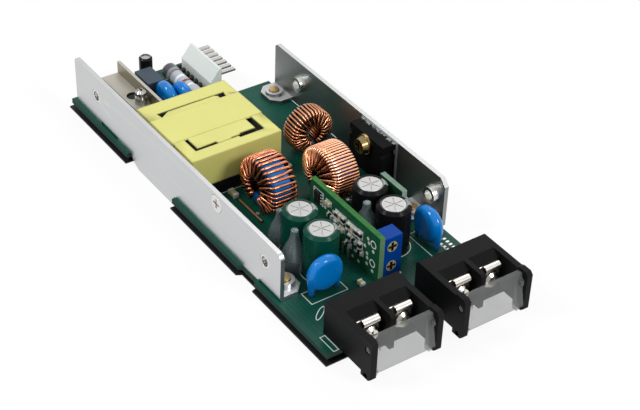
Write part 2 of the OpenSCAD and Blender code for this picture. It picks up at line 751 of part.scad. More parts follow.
// Turns of one layer: as many as fit side by side in the bore, at the radius of the innermost layer
function turns_of(id, wire, layers, slack) =
    floor((360 - foot_gap) * PI / 180 * (id / 2 - wind_gap(wire) - (layers - 1) * nest * wire)
        / (wire * slack));

function wire_path(od, id, w, wire, layers, slack, down) =
    let (g = wind_gap(wire), ro = od / 2 + g, ri = id / 2 - g, zt = w / 2 + g, c = wind_bevel(wire),
        n = layers * turns_of(id, wire, layers, slack), a0 = -90 + foot_gap / 2, span = 360 - foot_gap,
        first = on_ring([ro, -zt + c], a0), last = on_ring([ro, -zt + c], a0 + span))
    concat([[first[0], -down, first[2]]],
        [for (i = [0:8 * n]) let (deep = floor(i / 8) % layers * nest * wire)
            on_ring(loop_pt(i % 8, ro, ri - deep, zt, zt + deep, c), a0 + span * i / (8 * n))],
        [[last[0], -down, last[2]]]);

function unit(v) = v / norm(v);

module tube(path, d, sides = 6) {
    n = len(path);
    dirs = [for (i = [0:n - 1]) unit(path[min(i + 1, n - 1)] - path[max(i - 1, 0)])];
    // Sideways vector of each ring: along the core's circumference, square to the wire
    side = [for (i = [0:n - 1]) let (p = path[i], s = unit([-p[1], p[0], 0]))
        unit(s - (s * dirs[i]) * dirs[i])];
    points = [for (i = [0:n - 1]) let (u = side[i], v = cross(dirs[i], u)) for (k = [0:sides - 1])
        path[i] + d / 2 * (cos(k * 360 / sides) * u + sin(k * 360 / sides) * v)];
    faces = concat(
        [for (i = [0:n - 2]) for (k = [0:sides - 1])
            let (a = i * sides + k, b = i * sides + (k + 1) % sides)
            each [[a, a + sides, b], [b, a + sides, b + sides]]],
        [[for (k = [0:sides - 1]) k]],
        [[for (k = [sides - 1:-1:0]) (n - 1) * sides + k]]);
    polyhedron(points, faces);
}

module ring_core(od, id, w) {
    c = core_bevel;
    rotate_extrude() polygon([[id / 2, -w / 2 + c], [id / 2 + c, -w / 2], [od / 2 - c, -w / 2],
        [od / 2, -w / 2 + c],
        [od / 2, w / 2 - c], [od / 2 - c, w / 2], [id / 2 + c, w / 2], [id / 2, w / 2 - c]]);
}

// Places of the chokes, standing on the board, and of their wire tails: [x, y]
choke_seat = 0.2;
near_z = near_r + choke_seat;
far_z = far_r + choke_seat;
small_z = small_r + choke_seat;
function tail_dx(od, wire) = (od / 2 + wind_gap(wire)) * cos(-90 + foot_gap / 2);
function tail_off(w, wire) = w / 2 + wind_gap(wire) - wind_bevel(wire);
near_tails = [for (s = [-1, 1])
    [near_choke_x + s * tail_dx(core_od, near_wire_d), near_choke_y + tail_off(core_a_w, near_wire_d)]];
far_tails = [for (s = [-1, 1])
    [far_choke_x + s * tail_dx(core_od, far_wire_d), far_choke_y + tail_off(core_c_w, far_wire_d)]];
small_tails = [for (s = [-1, 1])
    [small_choke_x - tail_off(small_w, small_wire_d), small_choke_y + s * tail_dx(small_od, small_wire_d)]];

module near_choke_at() stand() translate([near_choke_x, near_choke_y, near_z]) rotate([90, 0, 0])
    children();
module far_choke_at() stand() translate([far_choke_x, far_choke_y, far_z]) rotate([90, 0, 0]) children();
module small_choke_at() stand() translate([small_choke_x, small_choke_y, small_z]) rotate([90, 0, 90])
    children();

module near_choke_core() { color("royalblue") near_choke_at() ring_core(core_od, core_id, core_a_w); }
module far_choke_core() { color("royalblue") far_choke_at() ring_core(core_od, core_id, core_c_w); }
module small_choke_core() { color("royalblue") small_choke_at() ring_core(small_od, small_id, small_w); }

module near_choke_wire() {
    color("#b8693a") near_choke_at() tube(wire_path(core_od, core_id, core_a_w, near_wire_d, near_layers,
        near_slack, near_z + lead_end), near_wire_d);
}
module far_choke_wire() {
    color("#b8693a") far_choke_at() tube(wire_path(core_od, core_id, core_c_w, far_wire_d, far_layers,
        turn_slack, far_z + lead_end), far_wire_d);
}
module small_choke_wire() {
    color("#b8693a") small_choke_at() tube(wire_path(small_od, small_id, small_w, small_wire_d,
        small_layers,
        turn_slack, small_z + lead_end), small_wire_d);
}

// Capacitors

can_r = cap_d / 2 - sleeve_t - 0.05;
rim = 1.1;

module can() {
    difference() {
        rotate_extrude() polygon([[0, 0], [can_r, 0], [can_r, cap_h - 0.9], [can_r - 0.6, cap_h - 0.3],
            [can_r - rim, cap_h - 0.3], [can_r - rim - 0.2, cap_h - 0.1], [0, cap_h - 0.1]]);
        for (a = [30, 90, 150]) translate([0, 0, cap_h - 0.3]) rotate(a)
            translate([-can_r * 0.6, -0.15, 0]) cube([can_r * 1.2, 0.3, 1]);
    }
}

module sleeve() {
    rotate_extrude() polygon([[can_r + 0.05, 0.2], [cap_d / 2, 0.2], [cap_d / 2, cap_h - 0.8],
        [cap_d / 2 - 0.8, cap_h],
        [can_r - rim + 0.15, cap_h], [can_r - rim + 0.15, cap_h - 0.25], [can_r - 0.55, cap_h - 0.25],
        [can_r + 0.05, cap_h - 0.85]]);
}

module capacitor_cans() {
    color("gainsboro") stand() for (p = concat(green_caps, black_caps)) translate([p[0], p[1], 0]) can();
}
module green_sleeves() { color("#124a38") stand() for (p = green_caps) translate([p[0], p[1], 0])
    sleeve(); }
module black_sleeves() { color("#18181a") stand() for (p = black_caps) translate([p[0], p[1], 0])
    sleeve(); }

module small_capacitor() {
    color("#18181a") stand() translate([small_cap[0], small_cap[1], 0]) rotate_extrude()
        polygon([[0, 0], [small_cap_d / 2, 0], [small_cap_d / 2, 1], [small_cap_d / 2 - 0.25, 1.4],
            [small_cap_d / 2, 1.8], [small_cap_d / 2, small_cap_h - 0.5],
                [small_cap_d / 2 - 0.5, small_cap_h],
            [small_cap_d / 2 - 0.8, small_cap_h], [small_cap_d / 2 - 0.9, small_cap_h - 0.3],
                [0, small_cap_h - 0.3]]);
}

// Dipped disc on two coated legs, facing Y: a pillow turned from a round rim and two shallow arcs that
// meet it
disc_rim = 0.9;
disc_lift = 0.9;
leg_coat = 2.4;

module dipped_disc(d, pitch) {
    r = d / 2 - disc_rim;
    arc = (r * r + pow(disc_t / 2, 2) - pow(disc_rim, 2)) / (disc_t - 2 * disc_rim);
    off = arc - disc_t / 2;
    meet = 0.99 * arc * r / (arc - disc_rim);
    translate([0, 0, d / 2 + disc_lift]) rotate([90, 0, 0]) rotate_extrude() {
        translate([r, 0]) circle(disc_rim);
        intersection() {
            translate([0, -off]) circle(arc, $fn = 160);
            translate([0, off]) circle(arc, $fn = 160);
            translate([0, -disc_t]) square([meet, 2 * disc_t]);
        }
    }
    for (s = [-0.5, 0.5]) translate([s * pitch, 0, 0.3])
        cylinder(d1 = lead_d + 0.5, d2 = leg_coat, h = disc_lift + d / 2 - sqrt(pow(d / 2,
            2) - pow(pitch / 2, 2)) + 0.6);
}

module front_discs() {
    color("#1c6fc0") stand() {
        translate([front_disc_x, front_disc_y, 0]) rotate(90) dipped_disc(disc_d, disc_pitch);
        translate([side_disc_x, side_disc_y, 0]) dipped_disc(disc_d, disc_pitch);
    }
}

module rear_discs() {
    color("#1c6fc0") stand() for (p = rear_discs_at) translate([p[0], p[1], 0])
        dipped_disc(rear_disc_d, disc_pitch * 0.7);
}

module box_capacitor() {
    color("slategray") stand() translate([box_x, box_y, 0]) difference() {
        cube([box_l, box_w, box_h]);
        for (y = [-e, box_w - 0.4 + e]) translate([box_l / 2 - 1, y, -e]) cube([2, 0.4, 1]);
    }
}

module component_leads() {
    color("silver") stand() {
        for (p = leads) translate([p[0], p[1], -lead_end]) cylinder(d = lead_d, h = lead_end + p[2]);
        for (x = [-fuse_lead, fuse_l]) translate([fuse_x + x, fuse_y, fuse_z]) {
            rotate([0, 90, 0]) cylinder(d = lead_d, h = fuse_lead);
            translate([x < 0 ? 0 : fuse_lead, 0, 0]) sphere(d = lead_d);
        }
    }
}

// Upright boards, trimmers

module control_board() {
    color("seagreen") stand() translate([ctl_x1 - ctl_l, ctl_y, 0.2]) cube([ctl_l, ctl_t, ctl_h - 0.2]);
}

// Rows of small parts on the near face: [from front, height, length, tall]
chip_rows = concat(
    [for (i = [0:5]) [9 + i * 3.2, 10.6, 2, 1.2]],
    [for (i = [0:4]) [9 + i * 3.2, 7.6, 1.6, 2]],
    [[27.5, 9, 3.4, 4.6]]);

module control_chips() {
    color("#2a2a2c") stand() for (c = chip_rows) translate([ctl_x1 - c[0] - c[2] / 2, ctl_y - 0.8, c[1]])
        cube([c[2], 0.8, c[3]]);
}

module board_pins() {
    color("silver") stand() for (p = board_pin_spots) translate([p[0], p[1], -lead_end])
        cylinder(d = lead_d, h = lead_end + 4);
}

module sense_board() {
    color("seagreen") stand() translate([sense_x, sense_y, 0.2]) cube([sense_l, ctl_t, sense_h - 0.2]);
}

trim_x1 = ctl_x1 - 0.7;
trim_y = ctl_y + ctl_t;
trim_z0 = 0.5;
trim_step = trim_h + 0.1;
rotor_y = trim_y + trim_w / 2;
function rotor_z(i) = trim_z0 + i * trim_step + trim_h / 2;

module trimmer_bodies() {
    color("mediumblue") stand() for (i = [0, 1]) difference() {
        translate([trim_x1 - trim_d, trim_y, trim_z0 + i * trim_step]) cube([trim_d, trim_w, trim_h]);
        translate([trim_x1 - rotor_t - 0.1, rotor_y, rotor_z(i)]) rotate([0, 90, 0])
            cylinder(d = rotor_d + 2 * rotor_clear, h = rotor_t + 1);
    }
}

// Slotted disc that turns in its trimmer, facing the terminal end
module rotor(i) {
    translate([trim_x1 - rotor_t, rotor_y, rotor_z(i)]) rotate([0, 90, 0]) difference() {
        cylinder(d = rotor_d, h = rotor_t);
        translate([0, 0, rotor_t]) cross_recess(rotor_d * 0.8, rotor_t * 0.5);
    }
}
module upper_rotor() { color("wheat") stand() rotor(1); }
module lower_rotor() { color("wheat") stand() rotor(0); }

// Terminal blocks

cheek_x = tb_d - 4.1;
cheek_up = 0.5;
part_x1 = hinge_x - cover_up - 1.35;
floor_x1 = face_x + term_plate_t + clamp_t + term_head_h - 0.1;

module across(w) { translate([0, w, 0]) rotate([90, 0, 0]) linear_extrude(w) children(); }

module terminal_block() {
    difference() {
        union() {
            across(tb_w) polygon([[0, 0], [floor_x1, 0], [floor_x1, floor_t], [face_x, floor_t],
                [face_x, tb_h - 1.2], [ridge_x, tb_h], [0.8, tb_h], [0, tb_h - 0.8]]);
            for (y = [0, tb_w - end_t]) translate([0, y, 0]) across(end_t) end_wall();
            translate([0, (tb_w - part_t) / 2, 0]) across(part_t)
                polygon([[1, 0], [part_x1, 0], [part_x1, tb_h - 0.8], [part_x1 - 0.8, tb_h], [1, tb_h]]);
        }
        for (c = cell_mids) {
            translate([face_x - 6, c, term_z]) rotate([0, 90, 0])
                cylinder(d = term_d + 2 * screw_clear, h = 7);
            translate([leg_x, c, -e]) cylinder(d = leg_d + 2 * screw_clear, h = 2.2);
        }
        for (y = [-e, tb_w - end_t - e]) {
            translate([hinge_x, y, hinge_z]) rotate([-90, 0, 0])
                cylinder(d = hinge_d + 2 * hinge_clear, h = end_t + 2 * e);
            translate([latch_x, y, latch_z]) rotate([-90, 0, 0]) cylinder(d = 1.5, h = end_t + 2 * e);
        }
    }
}

// Side view of an end wall: flat on the board, with a taller cheek at the front for the cover's pins
module end_wall() {
    r = 0.9;
    polygon([[0, 0], [cheek_x, 0], [cheek_x, -1.4], [tb_d - r, -1.4], [tb_d, -1.4 + r],
        [tb_d, tb_h + cheek_up - r],
        [tb_d - r, tb_h + cheek_up], [cheek_x + 0.6, tb_h + cheek_up], [cheek_x - 0.4, tb_h], [0.8, tb_h],
        [0, tb_h - 0.8]]);
}

module left_terminal_block() { color("#1a1a1c") stand() translate([tb_x, left_tb_y, 0]) terminal_block(); }
module right_terminal_block() { color("#1a1a1c") stand() translate([tb_x, right_tb_y, 0])
    terminal_block(); }

module terminal_plates() {
    color("gainsboro") stand() for (y = cells) translate([tb_x + face_x, y, 0]) difference() {
        translate([0, -clamp_w / 2, 1.2]) cube([term_plate_t, clamp_w, tb_h - 2.8]);
        translate([-e, 0, term_z]) rotate([0, 90, 0])
            cylinder(d = term_d + 2 * screw_clear, h = term_plate_t + 2 * e);
    }
}

// Clamp plate with a rolled upper edge, just above the screw's head
clamp_low = 3;
roll_z = term_z + term_head_d / 2 + roll_gap + roll_r;

module wire_clamps() {
    color("whitesmoke") stand() for (y = cells) translate([tb_x + face_x + term_plate_t, y, 0])
        difference() {
        union() {
            translate([0, -clamp_w / 2, term_z - clamp_low]) cube([clamp_t, clamp_w, clamp_low + 1.6]);
            translate([0, -roll_w / 2, term_z]) cube([clamp_t, roll_w, roll_z - term_z]);
            translate([roll_r, -roll_w / 2, roll_z]) rotate([-90, 0, 0]) cylinder(r = roll_r, h = roll_w);
        }
        translate([-e, 0, term_z]) rotate([0, 90, 0])
            cylinder(d = term_d + 2 * screw_clear, h = clamp_t + 2 * e);
    }
}

module terminal_screws() {
    x0 = term_plate_t + clamp_t;
    color("silver") stand() for (y = cells) translate([tb_x + face_x, y, term_z]) rotate([0, 90, 0]) {
        translate([0, 0, -5]) cylinder(d = term_d, h = x0 + 5);
        difference() {
            union() {
                translate([0, 0, x0]) cylinder(d = term_head_d, h = term_head_h * 0.6);
                translate([0, 0, x0 + term_head_h * 0.6])
                    cylinder(d1 = term_head_d, d2 = term_head_d - 1.4, h = term_head_h * 0.4);
            }
            translate([0, 0, x0 + term_head_h]) cross_recess(term_head_d * 0.6, 1.2);
        }
    }
}

module terminal_legs() {
    color("goldenrod") stand() for (y = cells) translate([tb_x + leg_x, y, -lead_end])
        cylinder(d = leg_d, h = lead_end + 2);
}

// Clear cover: leaning plate with a top lip, an ear and a hinge pin at each end, and a latch bump on
// each ear
module terminal_cover() {
    y0 = end_t + cover_side;
    w = tb_w - 2 * y0;
    ear = 1;
    translate([hinge_x, 0, hinge_z]) {
        rotate([0, -cover_lean, 0]) {
            translate([-cover_t / 2, y0, -cover_low]) cube([cover_t, w, cover_low + cover_up]);
            translate([-cover_t / 2 - 0.5, y0, cover_up - 0.8]) cube([0.8, w, 0.8]);
        }
        for (y = [y0, tb_w - y0 - ear]) translate([0, y, 0]) {
            across(ear) polygon([[-0.5, 1.2], [0.6, 0.4], [1.1, -cover_low + 0.6],
                [0.7, latch_z - hinge_z - 0.7],
                [-0.9, latch_z - hinge_z - 0.8], [-1.2, latch_z - hinge_z + 0.4], [-1.1, -1]]);
            rotate([-90, 0, 0]) cylinder(d = hinge_d + 0.8, h = ear);
        }
        for (s = [[y0 - cover_side - end_t + 0.2, 1], [tb_w - y0 - 1, 1]]) translate([0, s[0], 0])
            rotate([-90, 0, 0]) cylinder(d = hinge_d, h = cover_side + end_t + 0.8);
        for (y = [y0 - cover_side + 0.05, tb_w - y0 - 0.5])
            translate([latch_x - hinge_x, y, latch_z - hinge_z])
            rotate([-90, 0, 0]) cylinder(d = 1.1, h = cover_side + 0.45);
    }
}

module left_cover() { color("#c8ccd0", 0.45) stand() translate([tb_x, left_tb_y, 0]) terminal_cover(); }
module right_cover() { color("#c8ccd0", 0.45) stand() translate([tb_x, right_tb_y, 0]) terminal_cover(); }

// Rear end

hdr_xs = [for (i = [0:hdr_pins - 1]) hdr_at + (i + 0.5) * hdr_pitch];
hdr_pin_y = hdr_y + hdr_w * 0.64;

module header_pin(grow = 0) {
    w = hdr_pin_w + 2 * grow;
    t = hdr_pin_t + 2 * grow;
    translate([-t / 2, -t / 2, -lead_end]) cube([t, t, lead_end + hdr_pin_z + t / 2]);
    translate([-w / 2, -t / 2, hdr_pin_z - t / 2])
        cube([w, hdr_y + hdr_w - hdr_pin_y + hdr_pin_l + t / 2, t]);
}

module header_base() {
    color("whitesmoke") stand() difference() {
        translate([hdr_at, hdr_y, 0]) rotate([90, 0, 90]) linear_extrude(hdr_l)
            polygon([[0, 0], [hdr_w, 0], [hdr_w, hdr_h], [hdr_w - 0.7, hdr_h], [0, hdr_h - 4.1]]);
        for (x = hdr_xs) translate([x, hdr_pin_y, 0]) header_pin(0.05);
    }
}

module header_pins() { color("silver") stand() for (x = hdr_xs) translate([x, hdr_pin_y, 0]) header_pin(); }

module bead_row() {
    color("#1c1c1e") stand() for (x = hdr_xs) translate([x, bead_y, 0]) {
        cylinder(d = bead_d, h = bead_h - 0.4);
        translate([0, 0, bead_h - 0.4]) cylinder(d1 = bead_d, d2 = bead_d - 0.8, h = 0.4);
    }
}

post_x = sink_x + 0.62 * sink_l;
post_y = sink_y + (sink_w - sink_t) * 0.6;
post_d = 4.4;
rect_x = post_x + post_d / 2 + 1;

// L-shaped sink: flat part on the rectifier and the post, flange upwards, one foot down to the board
module rear_heat_sink() {
    color("tan") stand() translate([sink_x, sink_y, 0]) difference() {
        union() {
            translate([0, 0, sink_z]) cube([sink_l, sink_w, sink_t]);
            translate([0, sink_w - sink_t, sink_z]) cube([sink_l, sink_t, sink_t + sink_h]);
            translate([1.4, 0, 0]) cube([4, sink_t, sink_z + sink_t]);
        }
        translate([post_x - sink_x, post_y - sink_y, sink_z - e])
            cylinder(d = thread_d + 2 * screw_clear, h = sink_t + 2 * e);
        translate([post_x - sink_x - sink_w * 0.7, (sink_w - sink_t) * 0.58, sink_z - e])
            cylinder(d = (sink_w - sink_t) * 0.72, h = sink_t + 2 * e);
        translate([sink_l, sink_w + 1, sink_z + sink_t + sink_h]) rotate([90, 0, 0])
            cylinder(r = 1.5, h = sink_t + 2, $fn = 4);
    }
}

module rear_rectifier() {
    color("#1c1c1e") stand() translate([rect_x, sink_y + 0.3, 0])
        cube([sink_x + sink_l - rect_x - 1, sink_w - sink_t - 0.5, sink_z]);
}

module sink_post() {
    color("goldenrod") stand() translate([post_x, post_y, 0]) difference() {
        union() {
            cylinder(d = post_d, h = sink_z);
            translate([0, 0, -board_t]) cylinder(d = post_d - 1.6, h = board_t + e);
        }
        translate([0, 0, 0.6]) cylinder(d = thread_d + 2 * screw_clear, h = sink_z);
    }
}

module sink_screw() {
    color("lightgray") stand() translate([post_x, post_y, sink_z + sink_t]) {
        translate([0, 0, -sink_t - sink_z + 1]) cylinder(d = thread_d, h = sink_z + sink_t - 1);
        cylinder(d = thread_d + 0.7, h = 2.1);
        cylinder(d = thread_d - 0.5, h = 2.8);
        difference() {
            translate([0, 0, 2.6]) {
                cylinder(d1 = thread_d - 0.4, d2 = thread_d + 0.4, h = 0.5);
                translate([0, 0, 0.5]) cylinder(d = thread_d + 0.4, h = 0.9);
                translate([0, 0, 1.4]) cylinder(d1 = thread_d + 0.4, d2 = thread_d - 1.2, h = 0.8);
            }
            translate([0, 0, 4.8]) cross_recess(1.9, 0.8);
        }
    }
}

fuse_cap_l = 4;

module fuse_place() stand() translate([fuse_x, fuse_y, fuse_z]) rotate([0, 90, 0]) children();

module fuse_body() {
    color("lightslategray") fuse_place() translate([0, 0, 0.6])
        cylinder(d = fuse_d - 0.5, h = fuse_l - 1.2);
}

module fuse_caps() {
    color("silver") fuse_place() for (z = [0, fuse_l - fuse_cap_l]) translate([0, 0, z]) difference() {
        cylinder(d = fuse_d, h = fuse_cap_l);
        translate([0, 0, z == 0 ? 0.55 : -e]) cylinder(d = fuse_d - 0.4, h = fuse_cap_l - 0.55 + e);
    }
}

// Glue and small parts on the board

// Lump of glue in the crevice between two cans: a thin neck that flares out on the board
glue_neck = 0.2;
function glue_r(t) = glue_neck + (1 - glue_neck) * (1 + cos(180 * min(1, 1.15 * t))) / 2;
function glue_profile(r, h, n = 8) = concat([[0, 0]],
    [for (i = [0:n]) [r * glue_r(i / n), h * i / n]],
    [[0, h]]);

module glue(p, x, r, h) {
    difference() {
        translate([p[0] + x, p[1] - cap_d / 2 + 0.4 - 0.17 * r, 0])
            rotate_extrude() polygon(glue_profile(r, h));
        for (c = concat(green_caps, black_caps)) translate([c[0], c[1], -1])
            cylinder(d = cap_d + 0.1, h = cap_h + 2);
    }
}

// Room for the glue: from the near plate's tab to the green cans, and from the control board to the
// black ones
green_room = green_y - cap_d / 2 - near_in - tab_reach;
black_room = black_y - cap_d / 2 - ctl_y - ctl_t;

module glue_blobs() {
    color("lightgray", 0.6) stand() {
        glue(green_caps[0], green_step / 2, 0.9 * green_room, cap_h * 0.75);
        glue(black_caps[0], black_step / 2, 0.45 * black_room, cap_h * 0.9);
        glue([green_caps[0][0] - cap_d / 2, green_caps[0][1] + 2], -0.6, 0.75 * green_room, cap_h * 0.6);
    }
}

module jumper_wire() {
    z = 0.55;
    color("peru") stand() translate([0, jumper_y, 0]) {
        for (x = jumper_xs) translate([x, 0, -lead_end]) {
            cylinder(d = lead_d, h = lead_end + z);
            translate([0, 0, lead_end + z]) sphere(d = lead_d);
        }
        translate([jumper_xs[0], 0, z]) rotate([0, 90, 0])
            cylinder(d = lead_d, h = jumper_xs[1] - jumper_xs[0]);
    }
}

// Chips on the board: [x, y, length, width, height]
chips = [[tr_x1 + 0.1, jumper_y - 0.8, 3.4, 1.7, 1.4], [tb_x - 11, ctl_y - 4.6, 2, 1.4, 0.9],
    [tb_x - 8, side_disc_y + 3.4, 2, 1.4, 0.9], [tb_x - 6, front_disc_y - 5, 2, 1.4, 0.9]];

module surface_chips() {
    color("darkkhaki") stand() for (c = chips) translate([c[0], c[1], 0]) cube([c[2], c[3], c[4]]);
}

main_board();
insulating_sheet();
sheet_pads();
near_side_plate();
far_side_plate();
clinch_nuts();
bracket_screws();
countersunk_screw();
device_screw();
far_device();
device_pad();
device_leads();
transformer_core();
transformer_bobbin();
transformer_winding();
transformer_tape();
transformer_pins();
near_choke_core();
near_choke_wire();
small_choke_core();
small_choke_wire();
far_choke_core();
far_choke_wire();
capacitor_cans();
green_sleeves();
black_sleeves();
small_capacitor();
front_discs();
rear_discs();
box_capacitor();
component_leads();
control_board();
control_chips();
board_pins();
sense_board();
trimmer_bodies();
upper_rotor();
lower_rotor();
left_terminal_block();
right_terminal_block();
terminal_plates();
wire_clamps();
terminal_screws();
terminal_legs();
left_cover();
right_cover();
header_base();
header_pins();
bead_row();
rear_heat_sink();
rear_rectifier();
sink_post();
sink_screw();
fuse_body();
fuse_caps();
glue_blobs();
jumper_wire();
surface_chips();
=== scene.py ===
"""Looks of an open-frame switching power supply: finishes for the built parts, and the wound, dipped
and glued pieces that a plain solid cannot show."""
import math
import random

import bpy
from bpy.props import FloatProperty, FloatVectorProperty, IntProperty, PointerProperty
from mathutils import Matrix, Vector


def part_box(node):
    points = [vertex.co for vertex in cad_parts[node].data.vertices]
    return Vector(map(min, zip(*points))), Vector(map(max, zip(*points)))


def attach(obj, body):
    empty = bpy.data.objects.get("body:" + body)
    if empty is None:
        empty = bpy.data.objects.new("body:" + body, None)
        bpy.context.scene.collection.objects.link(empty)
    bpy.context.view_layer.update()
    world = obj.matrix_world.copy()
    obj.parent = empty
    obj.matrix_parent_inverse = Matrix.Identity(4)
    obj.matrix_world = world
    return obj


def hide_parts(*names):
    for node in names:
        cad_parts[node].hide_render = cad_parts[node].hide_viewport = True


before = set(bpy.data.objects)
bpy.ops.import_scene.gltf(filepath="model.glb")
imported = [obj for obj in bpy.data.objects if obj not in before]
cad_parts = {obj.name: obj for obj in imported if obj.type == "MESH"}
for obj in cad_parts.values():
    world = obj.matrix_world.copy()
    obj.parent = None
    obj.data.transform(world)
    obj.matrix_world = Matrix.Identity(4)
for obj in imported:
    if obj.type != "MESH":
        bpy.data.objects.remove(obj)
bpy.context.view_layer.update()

bl_info = {
    "name": "Open-frame power supply",
    "version": (1, 0, 0),
    "blender": (4, 5, 0),
    "location": "3D View > Sidebar > Supply",
    "description": "Dresses the built power supply with windings, coatings, print and finishes",
    "category": "Object",
}

BODY = "supply"
MM = 0.001
BOARD_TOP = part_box("main_board")[1].z
LYING, UPRIGHT = (0, 0, 0), (math.pi / 2, 0, 0)
BOTH_WAYS = (-1, 1)


# Sizes and colours that a user would change


def length(name, description, default):
    return FloatProperty(name=name, description=description, default=default, min=0.0, precision=5,
                         unit="LENGTH", subtype="DISTANCE")


def colour(name, description, default):
    return FloatVectorProperty(name=name, description=description, default=default, size=3, min=0, max=1,
                               subtype="COLOR")


class SupplySizes(bpy.types.PropertyGroup):
    """Sizes of the pieces that are modelled here"""

    large_bore: length("Large bore", "Bore of the two large choke cores", 9 * MM)
    small_bore: length("Small bore", "Bore of the small choke core", 7 * MM)
    near_wire: length("Near wire", "Wire diameter of the near choke", 0.9 * MM)
    far_wire: length("Far wire", "Wire diameter of the far choke", 0.8 * MM)
    small_wire: length("Small wire", "Wire diameter of the small choke", 0.7 * MM)
    bulge: length("Bulge", "How far the windings stand off their cores", 0.5 * MM)
    wire_gap: length("Wire gap", "Gap between the wire and its core", 0.1 * MM)
    core_bevel: length("Core bevel", "Bevel of the cores' edges", 0.6 * MM)
    ink: length("Ink", "Thickness of the printed lines", 0.02 * MM)
    line: length("Line", "Width of the printed lines", 0.25 * MM)
    coat_voxel: length("Coat step", "Step of the mesh under a dipped coating", 0.22 * MM)
    foot_gap: FloatProperty(name="Foot gap", description="Angle at the foot of a winding without turns",
                            default=math.radians(44), subtype="ANGLE")
    seed: IntProperty(name="Seed", description="Start of the irregular lay of the wire", default=7)


class SupplyColours(bpy.types.PropertyGroup):
    """Colours of the finishes"""

    board: colour("Board", "Solder mask of the main board", (0.006, 0.078, 0.054))
    board_rim: colour("Board rim", "Cut edge of the main board", (0.006, 0.030, 0.022))
    module: colour("Upright boards", "Solder mask of the upright boards", (0.008, 0.088, 0.037))
    module_rim: colour("Control rim", "Cut edges of the control board", (0.038, 0.160, 0.038))
    sense_rim: colour("Small rim", "Cut edges of the small upright board", (0.17, 0.26, 0.20))
    sheet: colour("Sheet", "Insulating sheet", (0.010, 0.010, 0.011))
    foam: colour("Foam", "Pads between board and sheet", (0.09, 0.09, 0.09))
    plate: colour("Near plate", "Aluminium of the near side plate", (0.56, 0.565, 0.57))
    # The far plate's colour is a darker copy of the near plate's: painted shade and reflection of the dark
    # parts round it. Its flat faces keep the near plate's colour
    far_plate_shaded: colour("Far plate", "Duller aluminium of the far side plate", (0.28, 0.29, 0.285))
    zinc: colour("Zinc", "Plated steel fasteners", (0.72, 0.71, 0.69))
    nickel: colour("Nickel", "Plates, clamps and screws of the terminals", (0.76, 0.72, 0.66))
    brass: colour("Brass", "Brass posts and screw ends", (0.50, 0.34, 0.16))
    epoxy: colour("Epoxy", "Moulded bodies of the power devices", (0.012, 0.012, 0.013))
    pad: colour("Pad", "Insulating pad under the power device", (0.30, 0.32, 0.32))
    tinned: colour("Tinned", "Tinned leads and pads", (0.70, 0.69, 0.66))
    solder: colour("Solder", "Bright solder on the small parts", (0.88, 0.88, 0.86))
    tape: colour("Tape", "Polyester tape round the transformer", (0.70, 0.68, 0.205))
    bobbin: colour("Bobbin", "Bobbin of the transformer", (0.009, 0.009, 0.010))
    ferrite: colour("Ferrite", "Core of the transformer", (0.035, 0.034, 0.034))
    core: colour("Choke core", "Coating of the large choke cores", (0.002, 0.200, 0.640))
    small_core: colour("Small choke core", "Coating of the small choke core", (0.010, 0.013, 0.022))
    copper: colour("Copper", "Enamelled copper wire", (0.62, 0.215, 0.085))
    # Gleam and Bright are painted highlights along the tops of the turns, not colours of the wire
    gleam: colour("Gleam", "Crests of the copper wire", (0.80, 0.37, 0.18))
    bright: colour("Bright", "Crests of the far choke's shinier wire", (1.0, 0.66, 0.45))
    can: colour("Can", "Aluminium of the capacitor cans", (0.44, 0.44, 0.43))
    green_sleeve: colour("Green sleeve", "Sleeves of the near capacitors", (0.002, 0.056, 0.036))
    black_sleeve: colour("Black sleeve", "Sleeves of the far capacitors", (0.007, 0.007, 0.008))
    stripe: colour("Stripe", "Pole stripe on the sleeves", (0.33, 0.36, 0.36))
    disc: colour("Disc", "Dipped coating of the disc capacitors", (0.001, 0.190, 0.600))
    box: colour("Box", "Case of the box capacitor", (0.050, 0.070, 0.095))
    trimmer: colour("Trimmer", "Moulding of the trimmers", (0.001, 0.050, 0.300))
    rotor: colour("Rotor", "Turning discs of the trimmers", (0.42, 0.38, 0.23))
    block: colour("Block", "Moulding of the terminal blocks", (0.0045, 0.0045, 0.005))
    cover: colour("Cover", "Clear hinged covers", (0.17, 0.18, 0.175))
    header: colour("Header", "Moulding of the pin header", (0.78, 0.83, 0.80))
    # The flat part and the flange are lit and shaded copies of one finish: painted light on the flat part,
    # painted shade on the flange
    sink: colour("Sink", "Flat part of the passivated rear heat sink", (0.47, 0.445, 0.39))
    sink_wall_shaded: colour("Sink wall", "Upright flange of the rear heat sink", (0.30, 0.275, 0.205))
    fuse: colour("Fuse", "Glazed body of the fuse", (0.46, 0.49, 0.52))
    ring: colour("Ring", "Painted ring on the fuse", (0.22, 0.020, 0.012))
    glue: colour("Glue", "Hot-melt glue", (0.17, 0.22, 0.225))
    ink: colour("Ink", "Printed lines on the boards", (0.86, 0.90, 0.86))
    ceramic: colour("Ceramic", "Bodies of the small ceramic parts", (0.58, 0.45, 0.22))
    jumper: colour("Jumper", "Tarnished wire of the jumper", (0.33, 0.17, 0.09))
    chip: colour("Chip", "Bodies of the small black parts", (0.012, 0.012, 0.013))
    floor: colour("Floor", "Floor under the supply", (0.95, 0.95, 0.95))


# Finishes


def two_terms(operation, swapped=False):
    """A method that adds one Math node for a value and another term"""
    def method(self, other):
        return self.math(operation, *((other, self) if swapped else (self, other)))
    return method


